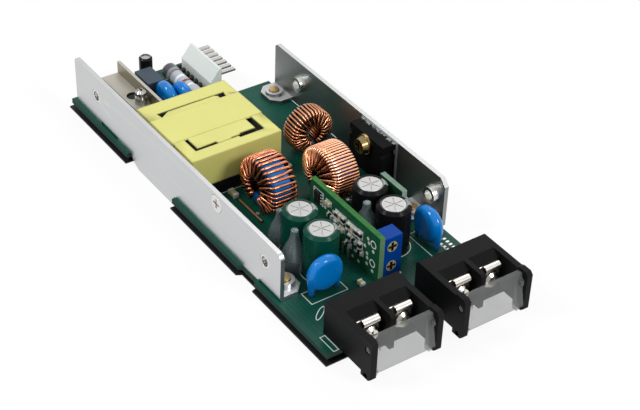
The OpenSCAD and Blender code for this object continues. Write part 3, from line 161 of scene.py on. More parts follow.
class Value:
    """An output of a node tree; sums and comparisons on it add Math nodes."""

    __add__ = __radd__ = two_terms("ADD")
    __sub__, __rsub__ = two_terms("SUBTRACT"), two_terms("SUBTRACT", True)
    __mul__, __truediv__ = two_terms("MULTIPLY"), two_terms("DIVIDE")
    __gt__, __lt__ = two_terms("GREATER_THAN"), two_terms("LESS_THAN")

    def __init__(self, nodes, socket):
        self.nodes, self.socket = nodes, socket

    def math(self, operation, *terms):
        return self.nodes.node("ShaderNodeMath", {"operation": operation}, terms)

    def __abs__(self):
        return self.math("ABSOLUTE", self)

    def step(self, low, high):
        """0 below low, 1 above high, smooth between"""
        return self.nodes.node("ShaderNodeMapRange", {"interpolation_type": "SMOOTHSTEP"},
                               {"Value": self, "From Min": low, "From Max": high})


class Nodes:
    """A node tree that takes nodes with their settings, values and links."""

    def __init__(self, tree):
        self.tree = tree

    def node(self, kind, settings=None, sockets=(), out=0):
        """Adds any node: its settings first, then the values or links of its sockets."""
        made = self.tree.nodes.new(kind)
        for key, value in (settings or {}).items():
            setattr(made, key, value)
        for key, value in sockets.items() if isinstance(sockets, dict) else enumerate(sockets):
            self.put(made.inputs[key], value)
        return Value(self, made.outputs[out]) if made.outputs else None

    def put(self, socket, value):
        if isinstance(value, Value):
            self.tree.links.new(value.socket, socket)
        elif hasattr(socket.default_value, "__len__"):
            count = len(socket.default_value)
            socket.default_value = tuple(value)[:count] + (1.0,) * (count - len(tuple(value)))
        else:
            socket.default_value = value

    def seen(self):
        """1 for rays from the camera and for those that metal or glass sends on, 0 for the rest"""
        camera = self.node("ShaderNodeLightPath", None, (), "Is Camera Ray")
        rays = camera.socket.node.outputs
        glossy, through = (Value(self, rays[name]) for name in ("Is Glossy Ray", "Is Transmission Ray"))
        return camera.math("MAXIMUM", camera, glossy.math("MAXIMUM", glossy, through))


class Finish(Nodes):
    """A material on Object coordinates with one Principled shader."""

    def __init__(self, name, **constants):
        self.material = bpy.data.materials.new(name)
        self.material.use_nodes = True
        super().__init__(self.material.node_tree)
        self.shader = self.tree.nodes["Principled BSDF"]
        place = self.tree.nodes.new("ShaderNodeTexCoord")
        self.place = Value(self, place.outputs["Object"])
        self.normal = Value(self, place.outputs["Normal"])
        self.set(**constants)

    def set(self, **inputs):
        for key, value in inputs.items():
            self.put(self.shader.inputs[key.replace("_", " ")], value)

    def axis(self, name):
        return self.node("ShaderNodeSeparateXYZ", None, (self.place,), name)

    def facing(self, name):
        return abs(self.node("ShaderNodeSeparateXYZ", None, (self.normal,), name))

    def stretched(self, scale):
        if not scale:
            return self.place
        return self.node("ShaderNodeMapping", None, {"Vector": self.place, "Scale": scale})

    def noise(self, scale, detail=2.0, rough=0.5, stretch=None):
        return self.node("ShaderNodeTexNoise", {"noise_dimensions": "3D"},
                         {"Vector": self.stretched(stretch), "Scale": scale, "Detail": detail,
                          "Roughness": rough})

    def cells(self, scale, feature="F1", stretch=None):
        return self.node("ShaderNodeTexVoronoi", {"feature": feature},
                         {"Vector": self.stretched(stretch), "Scale": scale}, "Distance")

    def mix(self, factor, first, second):
        return self.node("ShaderNodeMix", {"data_type": "RGBA"}, {0: factor, 6: first, 7: second}, 2)

    def shade(self, tint, factor, dark=0.75, light=1.2):
        """A colour that drifts between a darker and a lighter version of itself"""
        return self.mix(factor, toned(tint, dark), toned(tint, light))

    def bump(self, height, depth, edge=0.0):
        sockets = {"Height": height, "Strength": 1.0, "Distance": depth}
        if edge:
            sockets["Normal"] = self.node("ShaderNodeBevel", {"samples": 4}, {"Radius": edge})
        return self.node("ShaderNodeBump", None, sockets)


def toned(tint, *shares):
    """A colour made darker or lighter, by one share for all its parts or by one for each"""
    return [min(1.0, c * k) for c, k in zip(tint, shares * 3 if len(shares) == 1 else shares)]


def moulded(name, tint, rough=0.45, grain=6000, depth=6e-6, edge=0.12 * MM, drift=0.25, **constants):
    """Moulded plastic: fine spark-eroded grain, uneven gloss, faint flow marks and softened edges"""
    f = Finish(name, **{"Specular_IOR_Level": 0.18, **constants})
    flow = f.noise(180, 3, 0.55)
    fine = f.noise(grain, 2, 0.6)
    f.set(Base_Color=f.shade(tint, flow * 0.6 + fine * 0.4, 1 - drift, 1 + drift),
          Roughness=rough - 0.10 + flow * 0.12 + fine * 0.08,
          Normal=f.bump(fine, depth, edge))
    return f.material


def rolled(name, tint, rough=0.34, along=(60, 2600, 2600), edge=0.12 * MM, lying=None, **constants):
    """Rolled or drawn metal: long faint lines, cloudy gloss and a few scratches; faces that lie flat
    may take a colour of their own with less metal, painted light against the painted shade of the upright
    faces"""
    f = Finish(name, **{"Metallic": 1.0, **constants})
    lines = f.noise(1, 3, 0.65, along)
    cloud = f.noise(120, 4, 0.6)
    speck = f.noise(5200, 1, 0.5)
    scratch = f.cells(1, "DISTANCE_TO_EDGE", [a * 0.12 for a in along]).step(0.0, 0.012)
    tone = lines * 0.5 + cloud * 0.35 + speck * 0.15
    face = f.mix(scratch, toned(tint, 1.12), f.shade(tint, tone, 0.90, 1.10))
    # Painted light and shade: flat faces take their own lighter colour and less metal, upright faces the
    # darker one
    if lying:
        flat = f.facing("Z").step(0.5, 0.9)
        face = f.mix(flat, face, f.shade(lying, tone, 0.90, 1.10))
        f.set(Metallic=1 - flat * 0.65)
    f.set(Base_Color=face,
          Roughness=rough - 0.10 + cloud * 0.12 + lines * 0.08,
          Normal=f.bump(lines * 0.7 + speck * 0.3, 2.5e-6, edge))
    return f.material


def soldered(name, tints):
    """Bright solder: an even metal without a grain"""
    return rolled(name, tints.solder, 0.34, (900, 900, 900), 0, Metallic=0.3)


def plated(name, tint, rough=0.24, edge=0.08 * MM):
    """Bright plated metal: cloudy gloss, fine pits and a slight tarnish"""
    f = Finish(name, Metallic=1.0)
    cloud = f.noise(420, 3, 0.6)
    fine = f.noise(4200, 2, 0.6)
    tarnish = f.noise(900, 3, 0.7).step(0.55, 0.8)
    f.set(Base_Color=f.mix(tarnish * 0.5, f.shade(tint, cloud, 0.88, 1.08), toned(tint, 0.7, 0.62, 0.5)),
          Roughness=rough - 0.08 + cloud * 0.12 + fine * 0.06,
          Normal=f.bump(fine, 2e-6, edge))
    return f.material


def masked_board(name, tint, rim, mark):
    """Circuit board: copper shows under the mask, and the glass weave in the cut edges"""
    f = Finish(name, Specular_IOR_Level=0.12)
    turn = LYING if mark == "Z" else UPRIGHT
    plane = f.node("ShaderNodeMapping", None, {"Vector": f.place, "Rotation": turn})

    def gaps(wide, tall, gap):
        return f.node("ShaderNodeTexBrick", {"offset": 0.37, "squash": 0.62, "squash_frequency": 3},
                      {"Vector": plane, "Scale": 1000, "Mortar Size": gap, "Mortar Smooth": 0.2,
                       "Brick Width": wide, "Row Height": tall}, "Fac")
    over = f.noise(75, 1, 0.4).step(0.46, 0.50)
    copper = (1 - gaps(11.3, 6.7, 0.16)) * (1 - over) + (1 - gaps(9.1, 1.25, 0.22)) * over
    dust = f.noise(2600, 3, 0.6)
    cloud = f.noise(90, 3, 0.6)
    face = f.mix(copper, toned(tint, 0.84), f.shade(tint, cloud * 0.7 + dust * 0.3, 0.8, 1.25))
    side = f.facing(mark).step(0.3, 0.6)
    weave = f.noise(1, 2, 0.5, (700, 700, 4200))
    end = f.facing("X").step(0.3, 0.6)
    pale_rim = [c + 0.6 * max(rim) for c in rim]
    cut = f.mix(end, f.shade(rim, weave, 0.6, 1.4), f.shade(pale_rim, weave, 0.6, 1.3))
    f.set(Base_Color=f.mix(side, cut, face),
          Roughness=0.34 - copper * 0.06 + dust * 0.10 + (1 - side) * 0.25,
          Normal=f.bump(copper + dust * 0.12, 9e-6))
    return f.material


def wound_tape(name, tint):
    """Polyester tape: long shallow wrinkles and paler patches of trapped air"""
    f = Finish(name, Specular_IOR_Level=0.45)
    wrinkle = f.noise(1, 3, 0.6, (130, 42, 240))
    cloud = f.noise(70, 3, 0.55)
    fine = f.noise(2400, 2, 0.5)
    air = f.noise(380, 2, 0.5).step(0.52, 0.72)
    f.set(Base_Color=f.mix(air * 0.35, f.shade(tint, cloud * 0.6 + wrinkle * 0.4, 0.90, 1.10),
                           [min(1, c * 0.9 + 0.06) for c in tint]),
          Roughness=0.36 + wrinkle * 0.10 + fine * 0.06 - air * 0.05,
          Normal=f.bump(wrinkle * 0.9 + fine * 0.06, 7e-5, 0.7 * MM))
    return f.material


def enamelled(name, tint, gleam):
    """Enamelled copper wire: lacquered drawn metal, with a painted highlight along the top of each turn and
    painted shade, dark brown, between the turns
    """
    f = Finish(name, Metallic=1.0, Coat_Weight=1.0, Coat_Roughness=0.05)
    patch = f.noise(240, 3, 0.6)
    turn = f.noise(900, 2, 0.5)
    lacquer = f.noise(520, 3, 0.6).step(0.45, 0.75)
    # Ambient occlusion drives painted light here: where a turn lies open it gets a painted highlight, where
    # turns crowd each other it gets painted shade
    bare = f.node("ShaderNodeAmbientOcclusion", {"samples": 8}, {"Distance": 0.9 * MM}, "AO")
    wire = f.mix(lacquer * 0.45, f.shade(tint, patch * 0.5 + turn * 0.5, 0.80, 1.15),
                 toned(tint, 0.66, 0.52, 0.46))
    # Painted highlight along the open tops of the turns
    painted_crest_highlight = f.mix(bare.step(0.88, 1.0) * (0.35 + patch * 0.5), wire, gleam)
    # Painted shade: dark brown between the turns
    f.set(Base_Color=f.mix(bare.step(0.36, 0.90), toned(tint, 0.16, 0.08, 0.06), painted_crest_highlight),
          Roughness=0.12 + patch * 0.10 + turn * 0.06,
          Normal=f.bump(turn, 4e-6))
    return f.material


def dipped(name, tint, rough=0.05):
    """Thick glossy dip: orange-peel surface and a darker foot"""
    f = Finish(name, Coat_Weight=0.15, Coat_Roughness=0.03, Specular_IOR_Level=0.25)
    peel = f.noise(900, 2, 0.5)
    cloud = f.noise(160, 3, 0.6)
    fine = f.noise(5200, 2, 0.5)
    rise = f.axis("Z").step(BOARD_TOP, BOARD_TOP + 6 * MM)
    f.set(Base_Color=f.mix(rise, toned(tint, 0.72), f.shade(tint, cloud * 0.7 + fine * 0.3, 0.86, 1.14)),
          Roughness=rough + peel * 0.05 + fine * 0.02,
          Normal=f.bump(peel, 1.4e-5))
    return f.material


# Pole stripe of a sleeve: its middle and half its width along X, and where it lies on the can
STRIPE_AT, STRIPE_HALF, STRIPE_BACK, STRIPE_REACH = 1.2 * MM, 1.3 * MM, 2.5 * MM, 5.2 * MM


def shrunk_sleeve(name, tint, stripe, seats, top=None, top_r=0.0, gloss=0.10):
    """Shrink sleeve: glossy film with faint ripples, one plain pale stripe down each can, and a bare top
    if asked"""
    f = Finish(name, Specular_IOR_Level=gloss, Coat_Weight=gloss / 2, Coat_Roughness=0.05)
    ripple = f.noise(1, 2, 0.5, (300, 300, 900))
    cloud = f.noise(200, 3, 0.6)
    x, y = f.axis("X"), f.axis("Y")
    band = 0
    for at_x, at_y in seats:
        along = x - at_x
        striped = abs(along - STRIPE_AT) < STRIPE_HALF
        band = striped * ((y - at_y) > STRIPE_BACK) * (abs(along) < STRIPE_REACH) + band
    worn = f.noise(1500, 3, 0.6).step(0.25, 0.45)
    skin = f.mix(band * worn, f.shade(tint, cloud, 0.75, 1.3), stripe)
    if top:
        (at_x, at_y), = seats
        out = (x - at_x) * (x - at_x) + (y - at_y) * (y - at_y)
        bare = f.facing("Z").step(0.6, 0.9) * (out < top_r * top_r)
        skin = f.mix(bare, skin, f.shade(top, cloud, 0.85, 1.15))
        f.set(Metallic=bare * 0.5)
    f.set(Base_Color=skin,
          Roughness=0.20 + ripple * 0.10 + cloud * 0.05,
          Normal=f.bump(ripple, 1.6e-5))
    return f.material


def clear_moulding(name, tint):
    """Clear moulded plastic: faint haze, small milky specks and softened edges"""
    f = Finish(name, Specular_IOR_Level=0.5, Coat_Weight=0.4, Coat_Roughness=0.05)
    haze = f.noise(150, 3, 0.6)
    fine = f.noise(2600, 3, 0.6)
    f.set(Base_Color=f.shade(tint, haze, 0.9, 1.1),
          Roughness=0.12 + haze * 0.10 + fine * 0.05,
          Alpha=0.34 + haze * 0.08 + fine.step(0.62, 0.8) * 0.05,
          Normal=f.bump(haze, 3e-5, 0.2 * MM))
    return f.material


def glazed_fuse(name, tint, ring, low, high):
    """Glazed tube with painted rings round it and a darker end"""
    f = Finish(name, Specular_IOR_Level=0.5, Coat_Weight=0.35, Coat_Roughness=0.15)
    along = (f.axis("X") - low) / (high - low)

    def band(at, half):
        return abs(along - at) < half
    cloud = f.noise(260, 3, 0.6)
    fine = f.noise(3800, 2, 0.5)
    body = f.shade(tint, cloud * 0.7 + fine * 0.3, 0.85, 1.15)
    body = f.mix(band(0.42, 0.03) + band(0.76, 0.03), body, toned(tint, 1.9))
    body = f.mix(along < 0.24, body, toned(tint, 0.55))
    body = f.mix(band(0.05, 0.07), body, toned(tint, 0.10))
    f.set(Base_Color=f.mix(band(0.60, 0.035), body, ring),
          Roughness=0.26 + cloud * 0.12,
          Normal=f.bump(fine, 6e-6))
    return f.material


def hot_melt(name, tint):
    """Pale translucent glue: cloudy, with small bubbles and a wet gloss"""
    f = Finish(name, Specular_IOR_Level=0.5, Coat_Weight=0.6, Coat_Roughness=0.04)
    cloud = f.noise(260, 3, 0.6)
    bubble = f.cells(900).step(0.10, 0.32)
    rise = f.axis("Z").step(BOARD_TOP, BOARD_TOP + 12 * MM)
    f.set(Base_Color=f.mix(rise, toned(tint, 0.7), f.shade(tint, cloud, 0.85, 1.15)),
          Roughness=0.10 + cloud * 0.10,
          Alpha=0.58 + cloud * 0.12 + (1 - bubble) * 0.04,
          Normal=f.bump(cloud * 0.9 + bubble * 0.1, 2.5e-5))
    return f.material


def printed_ink(name, tint):
    """Screen-printed ink: slightly worn and uneven"""
    f = Finish(name)
    worn = f.noise(3000, 3, 0.6)
    cloud = f.noise(320, 2, 0.5)
    f.set(Base_Color=f.shade(tint, worn * 0.6 + cloud * 0.4, 0.70, 1.15),
          Roughness=0.45 + worn * 0.2,
          Normal=f.bump(worn, 6e-6))
    return f.material


def slotted(name, tint, low, high):
    """Moulded disc with a dark cross of dust and shadow in and beside its slots"""
    f = Finish(name, Specular_IOR_Level=0.3)
    fine = f.noise(5200, 2, 0.6)
    cloud = f.noise(600, 3, 0.6)
    over, up = abs(f.axis("Y") - (low.y + high.y) / 2), abs(f.axis("Z") - (low.z + high.z) / 2)
    reach, arm = (high.y - low.y) * 0.43, 0.44 * MM
    cross = (over < arm) * (up < reach) + (up < arm) * (over < reach)
    f.set(Base_Color=f.mix(cross.step(0.1, 0.9), f.shade(tint, cloud * 0.6 + fine * 0.4, 0.85, 1.12),
                           toned(tint, 0.05)),
          Roughness=0.36 + cloud * 0.12 + cross * 0.2,
          Normal=f.bump(fine, 5e-6, 0.06 * MM))
    return f.material


def pasted(name, tint, paste, corner):
    """Moulded black body with pale heat paste squeezed out along its upper edge"""
    f = Finish(name, Specular_IOR_Level=0.03)
    fine = f.noise(4200, 2, 0.6)
    ragged = f.noise(900, 4, 0.75)
    behind = (f.axis("Y") + ragged * (4 * MM) - corner.y).step(1.2 * MM, 1.6 * MM)
    spread = (f.axis("Z") + ragged * (1.6 * MM) - corner.z).step(0.6 * MM, 0.9 * MM) * behind
    f.set(Base_Color=f.mix(spread, f.shade(tint, fine, 0.75, 1.25), f.shade(paste, fine, 0.7, 1.2)),
          Roughness=0.45 + fine * 0.1 - spread * 0.1,
          Normal=f.bump(fine * 0.3 + spread, 3e-5, 0.12 * MM))
    return f.material


def dress(material, *names):
    """Gives one finish to built parts"""
    for name in names:
        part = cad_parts[name]
        if not part.material_slots:
            part.data.materials.append(material)
        for place in part.material_slots:
            place.material = material


# Modelling helpers


def deselect():
    if bpy.context.mode != "OBJECT":
        bpy.ops.object.mode_set(mode="OBJECT")
    bpy.ops.object.select_all(action="DESELECT")


def pick(piece):
    """Makes a piece the only chosen one"""
    deselect()
    piece.select_set(True)
    bpy.context.view_layer.objects.active = piece


def open_piece(name, *materials):
    """Starts a piece and leaves it open in edit mode"""
    deselect()
    bpy.ops.object.add(type="MESH")
    piece = bpy.context.object
    piece.name = piece.data.name = name
    for material in materials:
        piece.data.materials.append(material)
    bpy.ops.object.mode_set(mode="EDIT")
    return piece


def give(piece, index):
    """The faces just made take the piece's finish of that number"""
    piece.active_material_index = index
    bpy.ops.object.material_slot_assign()


def lump(piece, index, at, size):
    bpy.ops.mesh.primitive_cube_add(size=1, location=at, scale=size)
    give(piece, index)


def sheet_piece(piece, at, size, index, turn):
    """A flat rectangle, lying on the board or turned upright"""
    bpy.ops.mesh.primitive_plane_add(size=1, location=at, rotation=turn)
    grow = (size[0], 1, size[1]) if turn[0] else (size[0], size[1], 1)
    bpy.ops.transform.resize(value=grow, center_override=at)
    give(piece, index)


def hollow(width):
    """Leaves only a rim of the face just made"""
    bpy.ops.mesh.inset(thickness=width)
    bpy.ops.mesh.delete(type="FACE")


def frame_line(piece, at, size, width, turn=LYING):
    """A printed rectangle"""
    sheet_piece(piece, at, size, 0, turn)
    hollow(width)


def round_face(piece, at, radius, index, turn, sides):
    bpy.ops.mesh.primitive_circle_add(vertices=sides, radius=radius, fill_type="NGON", location=at,
                                      rotation=turn)
    give(piece, index)


def ring_line(piece, at, radius, width, index=0, turn=LYING, sides=28):
    """A printed ring"""
    round_face(piece, at, radius, index, turn, sides)
    hollow(width)


def oval_line(piece, at, size, width, turn):
    """A printed oval that lies on the board"""
    round_face(piece, at, 0.5, 0, LYING, 32)
    bpy.ops.transform.resize(value=(size[0], size[1], 1), center_override=at)
    bpy.ops.transform.rotate(value=-turn, orient_axis="Z", center_override=at)
    hollow(width)


def modify(piece, kind, **settings):
    """Leaves edit mode and adds a modifier"""
    if bpy.context.mode != "OBJECT":
        bpy.ops.object.mode_set(mode="OBJECT")
    made = piece.modifiers.new(kind.lower(), kind)
    for key, value in settings.items():
        setattr(made, key, value)


def melt(piece, rounds):
    """Melts the parts of a piece into one rounded skin"""
    modify(piece, "REMESH", mode="VOXEL", voxel_size=bpy.context.scene.supply_sizes.coat_voxel)
    modify(piece, "SMOOTH", factor=0.5, iterations=rounds)


def apply_all(piece):
    pick(piece)
    for modifier in list(piece.modifiers):
        bpy.ops.object.modifier_apply(modifier=modifier.name)


def carve(piece, cutter):
    """Takes a cutter's shape out of a piece and removes the cutter"""
    modify(piece, "BOOLEAN", operation="DIFFERENCE", object=cutter)
    apply_all(piece)
    bpy.data.objects.remove(cutter)


def close_piece(piece, slot, *nodes, angle=35):
    """Ends a piece: modifiers applied, shading set, riding on the supply in place of the named parts"""
    apply_all(piece)
    bpy.ops.object.transform_apply(location=True, rotation=True, scale=True)
    bpy.ops.object.shade_smooth_by_angle(angle=math.radians(angle))
    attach(piece, BODY)
    if nodes:
        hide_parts(*nodes)
    deselect()


def middle_xy(low, high):
    return (low.x + high.x) / 2, (low.y + high.y) / 2


def side_box(node, far):
    """Lowest and highest corner of the solids of a part that lie on one side of the middle"""
    seen = [v.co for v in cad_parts[node].data.vertices if (v.co.y > 0) == far]
    return [Vector([pick_end(c[i] for c in seen) for i in range(3)]) for pick_end in (min, max)]


def spots_along_x(node):
    """Middles of two round parts that stand side by side along X"""
    low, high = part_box(node)
    r = (high.y - low.y) / 2
    return [(low.x + r, (low.y + high.y) / 2), (high.x - r, (low.y + high.y) / 2)]


# Stage

# Lamps: name, place, diameter and power
LAMPS = (("key", (-0.25, -0.70, 0.85), 0.34, 4.9),
         ("side", (0.82, 0.26, 0.64), 0.30, 4.9),
         ("glint", (0.45, -0.42, 0.95), 0.12, 0.4),
         ("back", (-0.45, 0.65, 0.75), 0.60, 1.8))
LAMP_AIM = Vector((0, 0, 0.01))
CAMERA_AT = (0.298098, -0.203997, 0.274235)
CAMERA_TURN = (52.6955, -1.803, 55.3882)
LENS, SENSOR, CLIP_START = 88.94, 36, 0.01
WHITE = (1, 1, 1, 1)
FLOOR_R, FLOOR_Z = 4, -0.05 * MM
# Share of plain white in the floor that is seen, and the surround's light on matt surfaces
FLOOR_WHITE, SURROUND = 0.90, 0.42


class SUPPLY_OT_stage(bpy.types.Operator):
    """Floor, soft light, white surround and the camera"""

    bl_idname = "supply.stage"
    bl_label = "Stage"

    def execute(self, context):
        scene = context.scene
        scene.view_settings.view_transform = "Standard"
        deselect()
        bpy.ops.mesh.primitive_circle_add(vertices=96, radius=FLOOR_R, fill_type="NGON",
                                          location=(0, 0, FLOOR_Z))
        floor = context.object
        floor.name = "floor"
        floor.data.materials.append(self.pale_floor(scene.supply_colours.floor))
        scene.world = self.surround()
        for lamp in LAMPS:
            self.lamp(*lamp)
        camera = bpy.data.objects.new("camera", bpy.data.cameras.new("camera"))
        scene.collection.objects.link(camera)
        camera.location = CAMERA_AT
        camera.rotation_euler = [math.radians(a) for a in CAMERA_TURN]
        camera.data.lens = LENS
        camera.data.sensor_width = SENSOR
        camera.data.clip_start = CLIP_START
        scene.camera = camera
        return {"FINISHED"}

    def pale_floor(self, tint):
        """Seen directly or in metal and glass, the floor is mostly plain white and keeps the shadow"""
        f = Finish("pale_floor", Roughness=0.9, Specular_IOR_Level=0.1)
        cloud = f.noise(3, 3, 0.5)
        f.set(Base_Color=f.shade(tint, cloud, 0.99, 1.01), Roughness=0.85 + cloud * 0.1)
        white = f.node("ShaderNodeEmission", None, {"Color": WHITE, "Strength": 1.0})
        both = f.node("ShaderNodeMixShader", None,
                      (f.seen() * FLOOR_WHITE, Value(f, f.shader.outputs["BSDF"]), white))
        f.put(f.tree.nodes["Material Output"].inputs["Surface"], both)
        return f.material

    def surround(self):
        """Plain white where it is seen, softer where it lights the supply"""
        world = bpy.data.worlds.new("white_surround")
        world.use_nodes = True
        w = Nodes(world.node_tree)
        w.tree.nodes.clear()
        level = w.node("ShaderNodeMapRange", None, {"Value": w.seen(), "To Min": SURROUND, "To Max": 1.0})
        back = w.node("ShaderNodeBackground", None, {"Color": WHITE, "Strength": level})
        w.node("ShaderNodeOutputWorld", None, {"Surface": back})
        return world

    def lamp(self, name, place, size, power):
        data = bpy.data.lights.new(name, "AREA")
        data.shape = "DISK"
        data.size = size
        data.energy = power
        lamp = bpy.data.objects.new(name, data)
        bpy.context.scene.collection.objects.link(lamp)
        lamp.location = place
        lamp.rotation_euler = (LAMP_AIM - Vector(place)).to_track_quat("-Z", "Y").to_euler()


# Windings

RIM_DROP = 0.06 * MM  # keeps the rim of a winding inside the built part's box
CORNER = 0.55  # share of the gap that rounds a turn's corners
NEST = 0.9  # share of the wire by which each layer lies deeper in the bore
WAVE = 0.02  # how far a turn wavers at the rim, in turns
TAIL_STEPS, TAIL_BOW = 4, 0.04
WIRE_R = 0.485  # share of the wire's diameter, so that turns side by side stay apart


class SUPPLY_OT_windings(bpy.types.Operator):
    """Copper wire wound round the three choke cores"""

    bl_idname = "supply.windings"
    bl_label = "Windings"

    def execute(self, context):
        sizes = context.scene.supply_sizes
        tints = context.scene.supply_colours
        copper = enamelled("copper_wire", toned(tints.copper, 0.9), tints.gleam)
        # The near choke's wire: a darker, redder copy of the copper, painted shade
        deep = enamelled("shaded_wire", toned(tints.copper, 0.72, 0.52, 0.46),
                         toned(tints.gleam, 0.80, 0.58, 0.46))
        # The far choke's wire: a lighter copy of the copper with paler highlights, painted light
        bright = enamelled("lit_wire", toned(tints.copper, 1.2), tints.bright)
        # Layers in the bore, slack between turns, unevenness, and whether the winding grows upwards
        self.wind("near", "Y", sizes.large_bore, sizes.near_wire, 2, 1.22, 0.16, False, deep)
        self.wind("far", "Y", sizes.large_bore, sizes.far_wire, 3, 1.0, 0.05, False, bright)
        self.wind("small", "X", sizes.small_bore, sizes.small_wire, 2, 1.1, 0.10, True, copper)
        return {"FINISHED"}

    def loop(self, ro, ri, zo, zi, c):
        """Points of one turn round the core's section, with round corners: (radius, height)"""
        def corner(r, z, turn):
            return [(r + c * math.cos(turn + k * math.pi / 8), z + c * math.sin(turn + k * math.pi / 8))
                    for k in range(5)]
        return ([(ro, -(zo - c) / 3), (ro, (zo - c) / 3)]
                + corner(ro - c, zo - c, 0)
                + [((ro + ri) / 2, (zo + zi) / 2)]
                + corner(ri + c, zi - c, math.pi / 2)
                + [(ri, 0)]
                + corner(ri + c, -zi + c, math.pi)
                + [((ro + ri) / 2, -(zo + zi) / 2)]
                + corner(ro - c, -zo + c, 3 * math.pi / 2))

    def wind(self, side, axis, bore, wire, layers, slack, loose, upwards, finish):
        name, choke = side + "_winding", side + "_choke"
        sizes = bpy.context.scene.supply_sizes
        chance = random.Random(f"{sizes.seed} {name}")
        low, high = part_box(choke + "_core")
        middle = (low + high) / 2
        gap = sizes.wire_gap + wire / 2
        ro, ri = (high.z - low.z) / 2 + gap - RIM_DROP, bore / 2 - gap
        width = (high.y - low.y) if axis == "Y" else (high.x - low.x)
        zt, c = width / 2 + gap, sizes.core_bevel + CORNER * gap
        span = 2 * math.pi - sizes.foot_gap
        start = -math.pi / 2 + sizes.foot_gap / 2
        deeper = NEST * wire
        turns = layers * int(span * (ri - (layers - 1) * deeper) / (wire * slack))
        points = []
        for i in range(turns):
            deep = (i % layers) * deeper
            ring = self.loop(ro, ri - deep, zt, zt + deep, c)
            shift = chance.uniform(-loose, loose) if 0 < i < turns - 1 else 0
            for k, (r, z) in enumerate(ring):
                outside = max(0.0, (r - ri) / (ro - ri)) ** 2
                wave = chance.uniform(-WAVE, WAVE) * outside
                a = start + span * (i + k / len(ring) + shift * outside + wave) / turns
                x, y = r * math.cos(a) * (1 + sizes.bulge / ro), r * math.sin(a)
                if upwards:
                    y += (y + ro) / (2 * ro) * 2 * sizes.bulge
                points.append((x, y, z * (1 + sizes.bulge / zt)))
        first, last = points[0], points[-1]
        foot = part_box(choke + "_wire")[0].z - middle.z
        for k in range(1, TAIL_STEPS + 1):
            t = k / TAIL_STEPS
            bow = 1 - TAIL_BOW * math.sin(math.pi * t)
            points.insert(0, (first[0] * bow, first[1] + (foot - first[1]) * t, first[2]))
            points.append((last[0] * bow, last[1] + (foot - last[1]) * t, last[2]))
        if axis == "Y":
            placed = [middle + Vector((x, -z, y)) for x, y, z in points]
        else:
            placed = [middle + Vector((z, x, y)) for x, y, z in points]
        data = bpy.data.curves.new(name, "CURVE")
        data.dimensions = "3D"
        data.bevel_depth = wire * WIRE_R
        data.bevel_resolution = 3
        data.use_fill_caps = True
        line = data.splines.new("POLY")
        line.points.add(len(placed) - 1)
        for point, at in zip(line.points, placed):
            point.co = (*at, 1)
        piece = bpy.data.objects.new(name, data)
        bpy.context.scene.collection.objects.link(piece)
        pick(piece)
        bpy.ops.object.convert(target="MESH")
        piece = bpy.context.object
        piece.name = name
        piece.data.materials.clear()
        piece.data.materials.append(finish)
        close_piece(piece, "copper_wire", choke + "_wire", angle=80)


# Coatings and glue

DISC_T, FRONT_LEGS = 3.6 * MM, 7 * MM
REAR_D, REAR_LEGS, REAR_LEAN = 9.8 * MM, 4.9 * MM, math.radians(11)
# What the dip adds to a disc's diameter, the disc's height over the board, its rounding as a share of the
# thickness, rounds of smoothing, the share of the legs that is coated on a leaning disc, and the coat there
DIP, DISC_LIFT = 0.5 * MM, 1.1 * MM
DISC_ROUND, DISC_MELT, LEAN_REACH = 0.46, 14, 0.55
LEG_FOOT_R, LEG_TOP_R, LEG_SPREAD, LEG_Z, LEG_SHORT = 0.75 * MM, 1.45 * MM, 1.18, 0.1 * MM, 0.8 * MM


class SUPPLY_OT_discs(bpy.types.Operator):
    """Blue dipped disc capacitors, whose coating runs down the legs"""

    bl_idname = "supply.discs"
    bl_label = "Dipped discs"

    def execute(self, context):
        blue = dipped("disc_blue", context.scene.supply_colours.disc)
        low, high = side_box("front_discs", False)
        d = high.y - low.y
        for name, far, along in (("front_disc", False, "Y"), ("side_disc", True, "X")):
            at = middle_xy(*side_box("front_discs", far))
            self.disc(name, at, d, FRONT_LEGS, along, blue, "front_discs")
        low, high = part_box("rear_discs")
        for name, at in (("rear_disc_a", (low.x + REAR_D / 2, low.y + DISC_T / 2)),
                         ("rear_disc_b", (high.x - REAR_D / 2, high.y - DISC_T / 2))):
            self.disc(name, at, REAR_D, REAR_LEGS, "X", blue, "rear_discs", REAR_LEAN)
        return {"FINISHED"}

    def disc(self, name, at, d, pitch, along, blue, node, lean=0.0):
        d += DIP
        mid_z = BOARD_TOP + DISC_LIFT + d / 2
        side = Vector((1, 0, 0)) if along == "X" else Vector((0, 1, 0))
        turn = UPRIGHT if along == "X" else (0, math.pi / 2, 0)
        piece = open_piece(name, blue)
        bpy.ops.mesh.primitive_cylinder_add(vertices=64, radius=d / 2, depth=DISC_T, location=(*at, mid_z),
                                            rotation=turn)
        bpy.ops.mesh.bevel(offset=DISC_T * DISC_ROUND, segments=7, profile=0.5, affect="EDGES")
        if lean:
            bpy.ops.transform.rotate(value=-lean, orient_axis="X",
                                     center_override=(*at, BOARD_TOP + DISC_LIFT))
        reach = (mid_z - BOARD_TOP - LEG_SHORT) * (LEAN_REACH if lean else 1)
        for s in (-0.5, 0.5):
            leg = Vector((*at, 0)) + side * (s * pitch * LEG_SPREAD)
            bpy.ops.mesh.primitive_cone_add(vertices=24, radius1=LEG_FOOT_R, radius2=LEG_TOP_R, depth=reach,
                                            location=(leg.x, leg.y, BOARD_TOP + LEG_Z + reach / 2))
        melt(piece, DISC_MELT)
        close_piece(piece, "disc_blue", node, angle=80)


# A drop is stacked from cones that lap, and narrows to a neck at a share of its height
GLUE_STEPS, GLUE_LAP, GLUE_NECK, GLUE_NECK_AT = 12, 1.02, 0.30, 0.92
GLUE_GAP, GLUE_MELT = 0.1 * MM, 6
# Clearance round the cans, and the size of the cutters
CAN_CLEAR, CAN_CUT, FLOOR_CUT = 0.04 * MM, 0.06, 0.1


